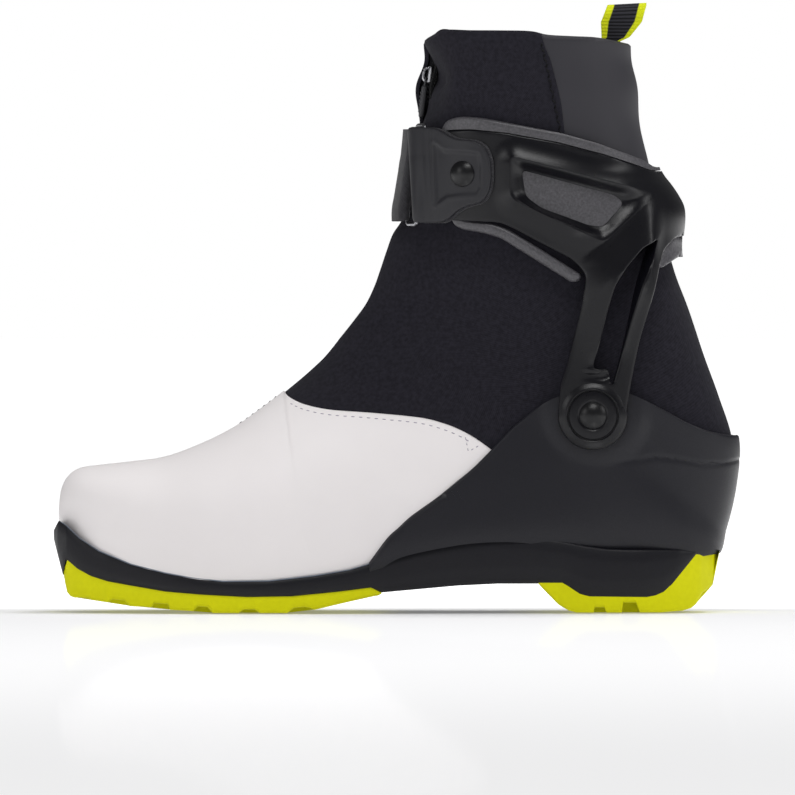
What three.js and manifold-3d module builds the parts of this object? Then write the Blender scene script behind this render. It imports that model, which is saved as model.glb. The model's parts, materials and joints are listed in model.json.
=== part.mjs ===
// Cross-country skating boot for the left foot. Millimetres, +Z up.
// +X runs from the toe to the heel, -Y is the outer (lateral) side, and the ground is Z = 0.
import * as THREE from 'three';
import { mergeVertices } from 'three/addons/utils/BufferGeometryUtils.js';
import Module from 'manifold-3d';

const wasm = await Module();
wasm.setup();

// Overall sizes. Outlines below are drawn for these nominal sizes and follow them when they change.
const BOOT_LENGTH = 289;
const BALL_WIDTH = 99.6;
const COLLAR_HEIGHT = 244.5;
const NOMINAL = { length: 289, width: 99.6, height: 244.5 };
const LONG = BOOT_LENGTH / NOMINAL.length;
const WIDE = BALL_WIDTH / NOMINAL.width;
const TALL = COLLAR_HEIGHT / NOMINAL.height;

// Clearances
const GAP = 0.3;
const BORE_CLEARANCE = 0.3;
const RUNNING_CLEARANCE = 0.4;

// Layers of the upper, from the outside of the fabric inwards
const FABRIC = 1.8;
const LINING = 3.5;
const COUNTER_WALL = 2.5;
const ZIP_TAPE = 1.2;
const TONGUE = 3.5;
const LINING_FACE = FABRIC + GAP;
const FOOT_FACE = LINING_FACE + LINING;
const ZIP_FACE = FOOT_FACE + GAP;
const TONGUE_FACE = ZIP_FACE + ZIP_TAPE + GAP;
const INSOLE = 4.5;
const BOARD_RISE = 3;

// Cuff
const FRAME_WALL = 2.8;
const CUFF_LINER_WALL = 1.3;
const STRAP = 1.4;
const ANCHOR = 1.8;
const BEZEL_RISE = 1.2;
const STRAP_BOTTOM = 164.4 * TALL;
const STRAP_TOP = 202.8 * TALL;

// Pivot of the cuff on the heel counter
const PIVOT = at(81.9, 82.8);
const BOSS_RADIUS = 17.7;
const EYE_RADIUS = 13.8;
const DISC_RADIUS = 10.3;
const RIVET_HEAD_RADIUS = 5.7;
const SHANK_RADIUS = 4.2;
const WASHER_RADIUS = 8;
const WASHER = 1;
const DISC = 1.2;
const EYE_WALL = 3;
const BOSS_FACE = 38.6 * WIDE;
const EYE_INNER = BOSS_FACE + RUNNING_CLEARANCE;
const DISC_SEAT = EYE_INNER + EYE_WALL;
const EYE_OUTER = DISC_SEAT + GAP + DISC;
const WASHER_SEAT = BOSS_FACE - 2.2;

// Where the fabric turns from boot to cuff, as rays from the pivot in degrees above the toe side
const FOOT_RAYS = { back: 55, front: 161 };
const CUFF_RAYS = { back: 63.5, front: 140 };
const ANKLE_INNER_RADIUS = 12;
const SHAFT_INNER_RADIUS = 45;

// Strap ring and its two bars
const WIRE_RADIUS = 0.9;
const SLEEVE_RADIUS = 2.3;
const STRAP_RIVET_RADIUS = 5.5;
const STRAP_SHANK_RADIUS = 3;

// Zip
const SLOT_HALF = 3.5;
const LINING_SLOT_HALF = 5.5;
const TAPE_HALF = 9;
const SLIDER = { width: 6, length: 7.2, depth: 2.2, height: 225.8 * TALL, standoff: 0.9 };
const BRIDGE = { half: 0.8, top: 3, bottom: -3.6, outer: 3.7, wall: 0.8, foot: 0.6, sink: 0.2 };
const PULLER = { width: 5, length: 13.2, thick: 2.5, eye: 3.2, arm: 0.9, armInner: 1.3, armOuter: 2.2,
  pin: 0.45 };

// Pull loop at the back of the collar
const LOOP = { half: 5.2, web: 1.4, low: 226 * TALL, spring: 250 * TALL };

// Binding bar and sole
const BAR_RADIUS = 2.25;
const BAR_HALF = 20;
const RECESS = { half: 16, ahead: 4.6, behind: 9.4, above: 4.2 };
const FRONT_TREAD_INSET = 1.2;
const HEEL_TREAD_INSET = 0.6;
const HEEL_TREAD_GAP = 0.4;
const GUIDE_GROOVE = { centre: 13, width: 7, depth: 4 };

const colours = {
  white: material(0xe4e0e0, 0.42, 0),
  fabric: material(0x1c1b20, 0.85, 0),
  coated: material(0x39393d, 0.55, 0),
  lining: material(0x24242a, 0.9, 0),
  moulded: material(0x2d2d32, 0.5, 0),
  lime: material(0xd4d600, 0.45, 0),
  frame: material(0x131316, 0.32, 0),
  grain: material(0x1a1a1e, 0.6, 0),
  strap: material(0x222226, 0.8, 0),
  steel: material(0x6a6a70, 0.3, 1),
  board: material(0x8a7c66, 0.8, 0),
};

function material(color, roughness, metalness) {
  return new THREE.MeshStandardMaterial({ color, roughness, metalness });
}

// ---------------------------------------------------------------- solids

function at(x, z) {
  return [x * LONG, z * TALL];
}

function outline(points) {
  return points.map(([x, z]) => at(x, z));
}

function solid(geometry) {
  const bare = geometry.index ? geometry.toNonIndexed() : geometry;
  bare.deleteAttribute('normal');
  bare.deleteAttribute('uv');
  const merged = mergeVertices(bare, 1e-4);
  return new wasm.Manifold(new wasm.Mesh({
    numProp: 3,
    vertProperties: new Float32Array(merged.attributes.position.array),
    triVerts: new Uint32Array(merged.index.array),
  }));
}

function box([x0, x1], [y0, y1], [z0, z1]) {
  const geometry = new THREE.BoxGeometry(x1 - x0, y1 - y0, z1 - z0);
  geometry.translate((x0 + x1) / 2, (y0 + y1) / 2, (z0 + z1) / 2);
  return solid(geometry);
}

// The points of an outline, running clockwise or the other way
function turning(points, clockwise) {
  const line = points.map(([x, z]) => new THREE.Vector2(x, z));
  return THREE.ShapeUtils.isClockWise(line) === clockwise ? line : line.reverse();
}

// An outline in the side view, carried across the boot between two Y values
function across(points, y0 = -80, y1 = 80, holes = []) {
  const shape = new THREE.Shape(turning(points, false));
  for (const hole of holes) {
    shape.holes.push(new THREE.Path(turning(hole, true)));
  }
  const geometry = new THREE.ExtrudeGeometry(shape, { depth: y1 - y0, bevelEnabled: false });
  geometry.rotateX(Math.PI / 2);
  geometry.translate(0, y1, 0);
  return solid(geometry);
}

// An outline in the plan view, carried upwards between two heights
function upright(points, z0, z1) {
  const shape = new THREE.Shape(points.map(([x, y]) => new THREE.Vector2(x, y)));
  const geometry = new THREE.ExtrudeGeometry(shape, { depth: z1 - z0, bevelEnabled: false });
  geometry.translate(0, 0, z0);
  return solid(geometry);
}

// A round solid from start to end, given by its profile of [radius, height] points on that line
function turned(start, end, profile, segments = 16) {
  const points = profile.map(([r, h]) => new THREE.Vector2(r, h));
  const geometry = new THREE.LatheGeometry(points, segments);
  const line = new THREE.Vector3().subVectors(end, start).normalize();
  geometry.applyQuaternion(new THREE.Quaternion().setFromUnitVectors(new THREE.Vector3(0, 1, 0), line));
  geometry.translate(start.x, start.y, start.z);
  return solid(geometry);
}

function rod(start, end, radius, segments = 10) {
  const length = start.distanceTo(end);
  return turned(start, end, [[0, 0], [radius, 0], [radius, length], [0, length]], segments);
}

// A round solid on the pivot's axis between two distances from the middle of the boot
function onPivot(side, near, far, radius, segments = 20) {
  const [x, z] = PIVOT;
  return rod(new THREE.Vector3(x, side * near, z), new THREE.Vector3(x, side * far, z), radius, segments);
}

function union(parts) {
  return parts.reduce((sum, part) => sum.add(part));
}

const group = new THREE.Group();

function piece(name, body, finish) {
  const result = body.getMesh();
  const geometry = new THREE.BufferGeometry();
  geometry.setAttribute('position', new THREE.BufferAttribute(result.vertProperties, 3));
  geometry.setIndex(new THREE.BufferAttribute(result.triVerts, 1));
  const mesh = new THREE.Mesh(geometry, finish);
  mesh.name = name;
  group.add(mesh);
}

// ---------------------------------------------------------------- the last

// Each station is a flat section across the boot. Its plane holds the line from the front point
// to the back point: front x, z, back x, z, half width, centre y, where along the line it is
// widest, and how square its front and back halves are.
const STATIONS = [
  [-142.3, 38.5, -142.3, 38.5, 0, 4, 0.5, 2, 2],
  [-142.2, 44, -141, 35, 11, 4, 0.55, 2.2, 3],
  [-138.7, 56.4, -136.5, 29.5, 22, 4, 0.55, 2.3, 5],
  [-133.6, 60, -132, 25, 28, 3.8, 0.55, 2.3, 6],
  [-125, 61.3, -125, 20.8, 34.2, 3.4, 0.56, 2.3, 6],
  [-98, 64.8, -98, 12, 45, 1.6, 0.6, 2.2, 6],
  [-83, 70.2, -82, 9.7, 48.8, 0.6, 0.62, 2.15, 6],
  [-68.4, 77.5, -65, 9.1, 49.8, 0, 0.64, 2.1, 6],
  [-55.8, 86.3, -46, 9.8, 48.6, -0.9, 0.66, 2, 6],
  [-45, 94.8, -22, 13, 45.8, -1.6, 0.68, 1.9, 5.5],
  [-36.8, 101.9, 5, 19, 42.6, -2, 0.69, 1.85, 5],
  [-24.2, 116.2, 70, 22.5, 37.4, -1.6, 0.66, 1.85, 4],
  [-14, 129.8, 126, 22, 35, -0.5, 0.6, 1.9, 3.2],
  [-10.5, 137, 134.5, 36, 34.6, 0, 0.58, 1.95, 2.8],
  [-7.8, 144.5, 140.3, 54, 34.5, 0, 0.56, 2, 2.6],
  [-5.3, 151.9, 141.3, 72, 34.8, 0, 0.54, 2, 2.5],
  [-2.6, 159, 135.5, 91, 35.6, 0, 0.53, 2.05, 2.45],
  [1.9, 166, 129.5, 107.5, 36.8, 0, 0.52, 2.1, 2.4],
  [5.4, 182, 117, 143, 39.2, 0, 0.5, 2.2, 2.4],
  [9.4, 201, 107, 183, 41, 0, 0.5, 2.2, 2.4],
  [9.2, 221, 101.5, 219, 42, 0, 0.5, 2.2, 2.4],
  [11.5, 231, 98.9, 230.5, 42, 0, 0.5, 2.2, 2.4],
  [11.5, 256, 98.9, 256, 42, 0, 0.5, 2.2, 2.4],
].map(([fx, fz, bx, bz, half, centre, split, frontPower, backPower]) => ({
  front: at(fx, fz),
  back: at(bx, bz),
  half: half * WIDE,
  centre: centre * WIDE,
  split,
  frontPower,
  backPower,
}));
const AROUND = 16;
// The stations where the sole begins and ends, where the zip begins, and the last one
const TOE = 2;
const INSTEP = 9;
const HEEL = 12;
const TOP = STATIONS.length - 1;

// Moves one profile point of a station inwards, square to the profile through its neighbours
function inset(key, index, depth, turn) {
  const before = STATIONS[Math.max(index - 1, 0)][key];
  const after = STATIONS[Math.min(index + 1, STATIONS.length - 1)][key];
  const [dx, dz] = [after[0] - before[0], after[1] - before[1]];
  const length = Math.hypot(dx, dz) || 1;
  const [x, z] = STATIONS[index][key];
  return [x + turn * depth * dz / length, z - turn * depth * dx / length];
}

function profilePoint(key, index, depth) {
  if (index === 0) {
    return [STATIONS[0].front[0] + depth, STATIONS[0].front[1]];
  }
  return inset(key, index, depth, key === 'front' ? 1 : -1);
}

// The outline of one station as a closed ring of superellipse arcs
function stationRing(index, depth) {
  const station = STATIONS[index];
  const [fx, fz] = profilePoint('front', index, depth);
  const [bx, bz] = profilePoint('back', index, depth);
  const half = Math.max(station.half - depth, 1);
  const ring = [];
  for (let j = 0; j < AROUND; j += 1) {
    const angle = 2 * Math.PI * j / AROUND;
    const cos = Math.cos(angle);
    const sin = Math.sin(angle);
    const power = cos >= 0 ? station.frontPower : station.backPower;
    const reach = Math.abs(cos) ** (2 / power);
    const along = cos >= 0 ? station.split * (1 - reach) : station.split + (1 - station.split) * reach;
    const y = Math.sign(sin) * half * Math.abs(sin) ** (2 / power);
    ring.push([fx + (bx - fx) * along, station.centre + y, fz + (bz - fz) * along]);
  }
  return ring;
}

// A closed skin over a stack of rings, each end closed by a fan to its own middle point
function skin(rings, firstMiddle, lastMiddle) {
  const count = rings[0].length;
  const points = [firstMiddle, ...rings.flat(), lastMiddle];
  const triangles = [];
  const vertex = (row, j) => 1 + row * count + j % count;
  for (let j = 0; j < count; j += 1) {
    triangles.push(0, vertex(0, j), vertex(0, j + 1));
    triangles.push(points.length - 1, vertex(rings.length - 1, j + 1), vertex(rings.length - 1, j));
    for (let row = 0; row < rings.length - 1; row += 1) {
      triangles.push(vertex(row, j), vertex(row + 1, j + 1), vertex(row, j + 1));
      triangles.push(vertex(row, j), vertex(row + 1, j), vertex(row + 1, j + 1));
    }
  }
  const geometry = new THREE.BufferGeometry();
  geometry.setAttribute('position', new THREE.BufferAttribute(new Float32Array(points.flat()), 3));
  geometry.setIndex(triangles);
  return solid(geometry);
}

function middleOf(ring) {
  return [0, 1, 2].map((axis) => ring.reduce((sum, point) => sum + point[axis], 0) / ring.length);
}

// Everything inside the upper's outer face, moved inwards by depth (outwards where negative)
function last(depth) {
  const rings = [];
  for (let index = 1; index < STATIONS.length; index += 1) {
    rings.push(stationRing(index, depth));
  }
  const [poleX, poleZ] = profilePoint('front', 0, depth);
  return skin(rings, [poleX, STATIONS[0].centre, poleZ], middleOf(rings[rings.length - 1]));
}

// The line under the foot, raised by rise, from one station to another
function soleLine(first, end, rise) {
  return STATIONS.slice(first, end + 1).map((station) => [station.back[0], station.back[1] + rise]);
}

function under(first, end, rise) {
  const line = soleLine(first, end, rise);
  const front = line[0];
  const rear = line[line.length - 1];
  return [[front[0] - 40, 0], [front[0] - 40, front[1] + 1], ...line, [rear[0] + 40, rear[1]], [rear[0] + 40, 0]];
}

// A band along the front of the boot from one station to another, as deep as depth
function frontBand(first, end, depth) {
  const outer = [];
  const inner = [];
  for (const { front, back } of STATIONS.slice(first, end + 1)) {
    const length = Math.hypot(back[0] - front[0], back[1] - front[1]);
    const [ux, uz] = [(back[0] - front[0]) / length, (back[1] - front[1]) / length];
    outer.push([front[0] - 8 * ux, front[1] - 8 * uz]);
    inner.push([front[0] + depth * ux, front[1] + depth * uz]);
  }
  return [...outer, ...inner.reverse()];
}

// ---------------------------------------------------------------- turning and fixed fabric

function ray(degrees, radius) {
  const angle = degrees * Math.PI / 180;
  return [PIVOT[0] + radius * Math.cos(angle), PIVOT[1] + radius * Math.sin(angle)];
}

// A sector seen from the side, between two rays and outside a radius, grown by a margin all round
function sector(rays, inner, margin) {
  const half = (rays.front - rays.back) * Math.PI / 360;
  const pull = margin / Math.sin(half);
  const [baseX, baseZ] = ray((rays.front + rays.back) / 2, -pull);
  const steps = 7;
  const far = 420;
  const arc = [];
  for (let i = 0; i <= steps; i += 1) {
    arc.push(ray(rays.front + (rays.back - rays.front) * i / steps, inner + pull - margin));
  }
  const points = [...arc, ray(rays.back, far), ray(100, far * 1.5), ray(rays.front, far)];
  return across(shift(points, baseX - PIVOT[0], baseZ - PIVOT[1]));
}

const ankleAndUp = sector(FOOT_RAYS, ANKLE_INNER_RADIUS, 0);
const ankleInside = sector(FOOT_RAYS, ANKLE_INNER_RADIUS, -GAP);
const shaftZone = sector(CUFF_RAYS, SHAFT_INNER_RADIUS, 0);
const shaftWithGap = sector(CUFF_RAYS, SHAFT_INNER_RADIUS, GAP);
const zones = {
  foot: (body) => body.subtract(ankleAndUp),
  ankle: (body) => body.intersect(ankleInside).subtract(shaftWithGap),
  collar: (body) => body.intersect(shaftZone),
};

// ---------------------------------------------------------------- upper

const COLLAR_TOP = outline([
  [11, 240], [14.1, 242], [19.2, 244.5], [30.5, 244.1], [55.8, 244.1], [63.3, 242], [85.2, 241.2], [98.7, 238.7],
]);
const CAP_EDGE = outline([
  [-47.4, 91.9], [-44.8, 89.9], [-38.8, 87.3], [-28.5, 85.2], [-11.3, 83.9], [9.3, 81.8], [19.6, 79.2],
  [26.5, 77], [32.5, 73.2], [39.2, 68.2],
]);
const CAP_REAR = outline([[46, 61], [32, 49], [14, 35.5], [0, 24], [-7, 12]]);
const COUNTER_FRONT = outline([
  [-12.2, 21.2], [-4.4, 31.6], [0.6, 36.2], [5.9, 41], [16.2, 48.3], [24.7, 55.1], [31.7, 60.3], [39.2, 68],
]);
const COUNTER_TOP = outline([
  [51.6, 80.4], [63.3, 88.8], [80, 92.5], [97, 92.2], [111.5, 84.4], [127.3, 76.2], [133.5, 74.7], [142.1, 73.2],
]);
const PLATE_EDGE = outline([
  [-142.3, 38.5], [-138.9, 36.3], [-133.6, 31.3], [-125.3, 25.9], [-111.8, 20.4], [-97.3, 16.8], [-87.7, 15.1],
  [-73.2, 13.4], [-53.8, 13.6], [-34.5, 15.8], [-20, 18.2], [-13, 20.3], [-1.1, 25.1], [11, 28.5], [28.2, 31.5],
  [41.9, 32.4], [54, 32], [69.2, 30], [78.1, 28.2], [86.9, 26.9], [95.8, 26.5], [135.7, 26.4],
]);
const REAR_SEAM = outline([
  [59.6, 256], [59.6, 243.3], [60, 238.4], [63.5, 227.5], [65.5, 216.5], [67.7, 203.7], [69, 190], [72, 172],
]);

function shift(points, dx, dz) {
  return points.map(([x, z]) => [x + dx, z + dz]);
}

// The steep rear edge of the cap keeps its gap to the fabric mostly along the boot
const CAP_REAR_GAP = [0.5, -0.1];

// Everything under the collar's top edge, lowered by drop
function underCollar(drop) {
  const line = shift(COLLAR_TOP, 0, -drop);
  const front = line[0];
  const rear = line[line.length - 1];
  return across([[-200, 0], [-200, front[1]], ...line, [200, rear[1]], [200, 0]]);
}

const fabricShell = last(0).subtract(last(FABRIC)).intersect(underCollar(0));
const boardZone = across(under(TOE, HEEL, BOARD_RISE));
const boardZoneWithGap = across(under(TOE, HEEL, BOARD_RISE + GAP));
const capZone = across([...outline([[-170, 120], [-58, 104]]), ...CAP_EDGE, ...CAP_REAR,
  ...outline([[-7, 0], [-170, 0]])]);
const capZoneWithGap = across([...outline([[-170, 121], [-57.7, 104.3]]), ...shift(CAP_EDGE, GAP / 2, GAP),
  ...shift(CAP_REAR, ...CAP_REAR_GAP), ...outline([[-6.6, 0], [-170, 0]])]);
const zipSlot = across(frontBand(INSTEP, TOP, 14), -SLOT_HALF, SLOT_HALF);
const liningSlot = across(frontBand(INSTEP, TOP, 14), -LINING_SLOT_HALF, LINING_SLOT_HALF);
const panelZone = across([...REAR_SEAM, ...outline([[140, 160], [140, 256]])]);
const panelZoneWithGap = across([...shift(REAR_SEAM, -GAP, -GAP), ...outline([[141, 159.6], [141, 257]])]);

function buildUpper() {
  piece('toe_cap', fabricShell.intersect(capZone).subtract(boardZoneWithGap), colours.white);
  const fabric = fabricShell.subtract(capZoneWithGap).subtract(boardZoneWithGap).subtract(zipSlot);
  piece('softshell_foot', zones.foot(fabric), colours.fabric);
  piece('softshell_ankle', zones.ankle(fabric), colours.fabric);
  piece('softshell_collar', zones.collar(fabric).subtract(panelZoneWithGap), colours.fabric);
  piece('rear_collar_panel', zones.collar(fabric).intersect(panelZone), colours.coated);
  piece('lasting_board', fabricShell.intersect(boardZone), colours.board);

  const lining = last(LINING_FACE).subtract(last(FOOT_FACE)).intersect(underCollar(1.5)).subtract(liningSlot);
  piece('liner_foot', zones.foot(lining), colours.lining);
  piece('liner_ankle', zones.ankle(lining), colours.lining);
  piece('liner_collar', zones.collar(lining), colours.lining);

  const insoleZone = across(under(TOE + 1, HEEL, FOOT_FACE + GAP + INSOLE));
  piece('insole', last(FOOT_FACE + GAP).intersect(insoleZone), colours.lining);
  const tongueZone = across(frontBand(INSTEP - 1, TOP - 2, 32), -22 * WIDE, 22 * WIDE);
  piece('tongue', last(TONGUE_FACE).subtract(last(TONGUE_FACE + TONGUE)).intersect(tongueZone), colours.lining);
}

function buildZip() {
  const tapeZone = across(frontBand(INSTEP, TOP - 1, 20), -TAPE_HALF, TAPE_HALF);
  const tape = last(ZIP_FACE).subtract(last(ZIP_FACE + ZIP_TAPE)).intersect(tapeZone).intersect(underCollar(6));
  piece('zip_tape_foot', zones.foot(tape), colours.strap);
  piece('zip_tape_ankle', zones.ankle(tape), colours.strap);
  piece('zip_tape_collar', zones.collar(tape), colours.strap);
}

function buildCounter() {
  const zone = across([...COUNTER_FRONT, ...COUNTER_TOP, ...outline([[160, 73], [160, 26.7]]),
    ...shift(PLATE_EDGE.slice(12).reverse(), 0, GAP)]);
  let counter = last(-GAP - COUNTER_WALL).subtract(last(-GAP)).intersect(zone);
  for (const side of [-1, 1]) {
    const boss = onPivot(side, BOSS_FACE - 12, BOSS_FACE, BOSS_RADIUS).subtract(last(-GAP));
    const bore = onPivot(side, 10, BOSS_FACE + 5, SHANK_RADIUS + BORE_CLEARANCE);
    const seat = onPivot(side, 10, WASHER_SEAT, WASHER_RADIUS + BORE_CLEARANCE);
    counter = counter.add(boss).subtract(bore).subtract(seat);
  }
  piece('heel_counter', counter, colours.moulded);
}

// ---------------------------------------------------------------- sole

// Half widths of the sole in plan, outer side and inner side, along its length
const SOLE_PLAN = [
  [-144.5, 9, 14], [-143.2, 16, 21.5], [-139, 23.2, 28.6], [-132, 28.8, 34], [-122, 34.2, 39.6], [-108, 40, 44.4],
  [-92, 45.6, 47.8], [-76, 48.8, 49.3], [-60, 49.6, 48.8], [-44, 49.2, 46.6], [-24, 47, 42.6], [0, 44.6, 39],
  [28, 41.8, 36.6], [56, 39.8, 36.8], [84, 38.4, 37.6], [104, 36.2, 36], [118, 31.6, 31.6], [127, 25.6, 25.6],
  [133, 17.5, 17.5], [135.7, 10, 10],
];

function solePlan(margin) {
  const outer = SOLE_PLAN.map(([x, lateral]) => [x * LONG, -(lateral * WIDE - margin)]);
  const inner = SOLE_PLAN.map(([x, , medial]) => [x * LONG, medial * WIDE - margin]);
  return upright([...outer, ...inner.reverse()], -5, 60 * TALL);
}

const FRONT_TREAD_TOP = outline([
  [-138.9, 21.6], [-134.5, 18.2], [-128.7, 15.1], [-121.5, 12.9], [-111.8, 11.2], [-97.3, 8.8], [-82.8, 7.6],
  [-63.5, 6.6], [-44.2, 6.9], [-24.8, 8.8], [-11.3, 10.5],
]);
const FRONT_TREAD_BOTTOM = outline([
  [-6.7, 8.1], [-8, 7.3], [-15.2, 6.1], [-18.1, 5.2], [-35, 1.3], [-36.4, 2.1], [-39, 2.6], [-43.5, 2.1],
  [-46.1, 0], [-57.7, 0], [-59.6, 1.5], [-64.5, 1.5], [-66.4, 0], [-77.5, 0], [-79.5, 2.5], [-83.5, 2.8],
  [-85.7, 0.8], [-95.4, 1.3], [-96.3, 3.7], [-102, 4], [-103.1, 2.3], [-112.3, 2.7], [-114.5, 5.1],
  [-119.5, 5.6], [-121.5, 4.2], [-128.7, 5.2], [-129.7, 6.1], [-137.9, 6.6], [-139.4, 8.1],
]);
const HEEL_TREAD_TOP = outline([
  [58.9, 12.8], [69.2, 12.2], [71.6, 10.8], [76.4, 7.6], [80.5, 6.5], [104.7, 6.2], [108.3, 6.9], [111.7, 8.4],
  [115.3, 11.7], [126.6, 25.5],
]);
const HEEL_TREAD_BOTTOM = outline([
  [135.4, 25.8], [133, 17], [132.5, 11.4], [127.7, 7.6], [125.4, 3.4], [123, 1.6], [119.5, 0.7], [110.5, 0],
  [101.6, 0], [100, 4.2], [94.7, 4.2], [94.1, 0], [87.6, 0], [86.7, 2.2], [82.8, 2.2], [82.3, 0], [75.1, 0],
  [71.6, 1], [67.5, 3.4], [60.4, 10.6],
]);
const BAR = at(-132.6, 10.2);

function buildSole() {
  const recess = box([BAR[0] - RECESS.ahead, BAR[0] + RECESS.behind], [-RECESS.half, RECESS.half],
    [-5, BAR[1] + RECESS.above]);
  const bar = rod(new THREE.Vector3(BAR[0], -BAR_HALF, BAR[1]), new THREE.Vector3(BAR[0], BAR_HALF, BAR[1]),
    BAR_RADIUS, 16);
  const barBore = rod(new THREE.Vector3(BAR[0], -BAR_HALF - GAP, BAR[1]),
    new THREE.Vector3(BAR[0], BAR_HALF + GAP, BAR[1]), BAR_RADIUS + BORE_CLEARANCE, 16);
  let front = across([...FRONT_TREAD_TOP, ...FRONT_TREAD_BOTTOM]).intersect(solePlan(FRONT_TREAD_INSET));
  front = front.subtract(recess).subtract(barBore);
  for (const side of [-1, 1]) {
    const y = side * GUIDE_GROOVE.centre;
    const half = GUIDE_GROOVE.width / 2;
    front = front.subtract(box([-116 * LONG, 20], [y - half, y + half], [-5, GUIDE_GROOVE.depth]));
  }
  piece('front_outsole', front, colours.lime);
  piece('binding_bar', bar, colours.steel);
  const heelTread = across([...HEEL_TREAD_TOP, ...HEEL_TREAD_BOTTOM]).intersect(solePlan(HEEL_TREAD_INSET));
  piece('heel_outsole', heelTread.subtract(last(-GAP)), colours.lime);

  const under = [...outline([[-144.5, 34.2], [-144.5, 30.3], [-142.7, 23.6], [-140.5, 15.3], [-139.3, 22.3]]),
    ...shift(FRONT_TREAD_TOP.slice(1), 0, GAP), ...outline([[-6.4, 8.6], [25, 11.6], [58.4, 12.2]]),
    ...shift(HEEL_TREAD_TOP, 0, HEEL_TREAD_GAP), ...outline([[135.7, 26.2]])];
  const plate = across([...PLATE_EDGE.slice().reverse().slice(1), ...under]).intersect(solePlan(0));
  piece('sole_plate', plate.subtract(last(-GAP)), colours.moulded);
}

// ---------------------------------------------------------------- cuff

// Level outlines of the cuff frame's outer face: height, middle x, front x, rear x, half width and
// how square it is
const CUFF_LEVELS = [
  [60, 82, 20, 144, 42.6, 3],
  [100, 82, 20, 144, 42.6, 3],
  [118, 81, 14, 138, 43, 2.9],
  [132, 78, 8, 129, 43.8, 2.7],
  [145, 74, 3, 121.5, 45, 2.5],
  [158, 68, 1.5, 120.5, 46, 2.4],
  [163, 66, 1, 121.1, 46, 2.4],
  [169, 64, 0.8, 121.2, 46, 2.4],
  [180, 61, 2.8, 115, 46, 2.4],
  [185, 60, 3.6, 111, 46, 2.4],
  [192, 60, 4.6, 109.8, 46, 2.4],
  [208, 60, 6.4, 108.8, 46, 2.4],
].map(([z, middle, front, rear, half, power]) => ({
  z: z * TALL, middle: middle * LONG, front: front * LONG, rear: rear * LONG, half: half * WIDE, power,
}));
const CUFF_AROUND = 20;

function cuffRing(level, depth) {
  const ring = [];
  for (let j = 0; j < CUFF_AROUND; j += 1) {
    const angle = 2 * Math.PI * j / CUFF_AROUND;
    const cos = Math.cos(angle);
    const sin = Math.sin(angle);
    const reach = cos > 0 ? level.middle - level.front - depth : level.rear - depth - level.middle;
    const x = level.middle - Math.sign(cos) * reach * Math.abs(cos) ** (2 / level.power);
    const y = Math.sign(sin) * (level.half - depth) * Math.abs(sin) ** (2 / level.power);
    ring.push([x, y, level.z]);
  }
  return ring;
}

// Everything inside the cuff frame's outer face, moved inwards by depth
function cuffBlock(depth) {
  const rings = CUFF_LEVELS.map((level) => cuffRing(level, depth));
  return skin(rings, middleOf(rings[0]), middleOf(rings[rings.length - 1]));
}

function cuffShell(outer, inner) {
  return cuffBlock(outer).subtract(cuffBlock(inner));
}

// A place on the cuff frame's outer face and the direction out of it, at x and z on one side
function onCuff(x, z, side, rise) {
  const upper = CUFF_LEVELS.findIndex((level) => level.z >= z);
  const [low, high] = [CUFF_LEVELS[upper - 1], CUFF_LEVELS[upper]];
  const share = (z - low.z) / (high.z - low.z);
  const mix = (key) => low[key] + (high[key] - low[key]) * share;
  const power = mix('power');
  const half = mix('half') + rise;
  const reach = x < mix('middle') ? mix('middle') - mix('front') + rise : mix('rear') - mix('middle') + rise;
  const u = (x - mix('middle')) / reach;
  const v = (1 - Math.abs(u) ** power) ** (1 / power);
  const normal = new THREE.Vector3(Math.sign(u) * Math.abs(u) ** (power - 1) / reach,
    side * v ** (power - 1) / half, 0).normalize();
  return { point: new THREE.Vector3(x, side * v * half, z), normal };
}

const LEG_FRONT = [[68.2, 95.1], [70.8, 103.4], [74.5, 117.7], [78.3, 129.7], [79.8, 140.2]];
const LEG_REAR = [[112.1, 152.2], [109.1, 145.5], [106.1, 132.7], [101.6, 114.7], [97.1, 92.9], [95, 84]];
const FRAME_OUTLINE = outline([
  [18, 201], [21.7, 202.2], [30.5, 202.4], [45.9, 200.9], [67.3, 197], [87.1, 191.9], [100, 187.7], [106.7, 185.2],
  [130, 185.2], [130, 158.6], [119.3, 158.6], ...LEG_REAR, [82, 80], [69, 84], ...LEG_FRONT, [77.2, 142],
  [70, 146.3], [57.9, 153.2], [44.2, 162.7], [27, 163.6], [18, 165.5],
]);
const LEG_SLOT = outline([
  [107.6, 157], [100.8, 153], [94.9, 145.5], [90.3, 137.2], [87.3, 125.2], [84.3, 111.7], [82.6, 104.5],
  [83.4, 102], [89.6, 102], [91.4, 103.5], [95.6, 118.4], [100.8, 137.2],
]);
const WINDOW = outline([
  [51.9, 185.5], [92.4, 174.9], [95.8, 171.7], [86.9, 162], [81, 162.5], [60, 170], [53.6, 174.7],
]);
const BEZEL = outline([[47.6, 191.9], [107.7, 175.6], [86.1, 154.9], [47.6, 173.8]]);
const LINER_OUTLINE = outline([
  [19.5, 203.2], [27, 207.2], [33.9, 206.8], [68.2, 201.3], [84.4, 197], [103.3, 189.8], [130, 188], [130, 149],
  [119, 148.5], [112.9, 144.2], [96, 141.5], [78.5, 141.5], [74.7, 138.6], [70, 142.1], [52.8, 150.7],
  [37.2, 158.4], [29.6, 159.2], [19.5, 164.8],
]);

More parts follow.
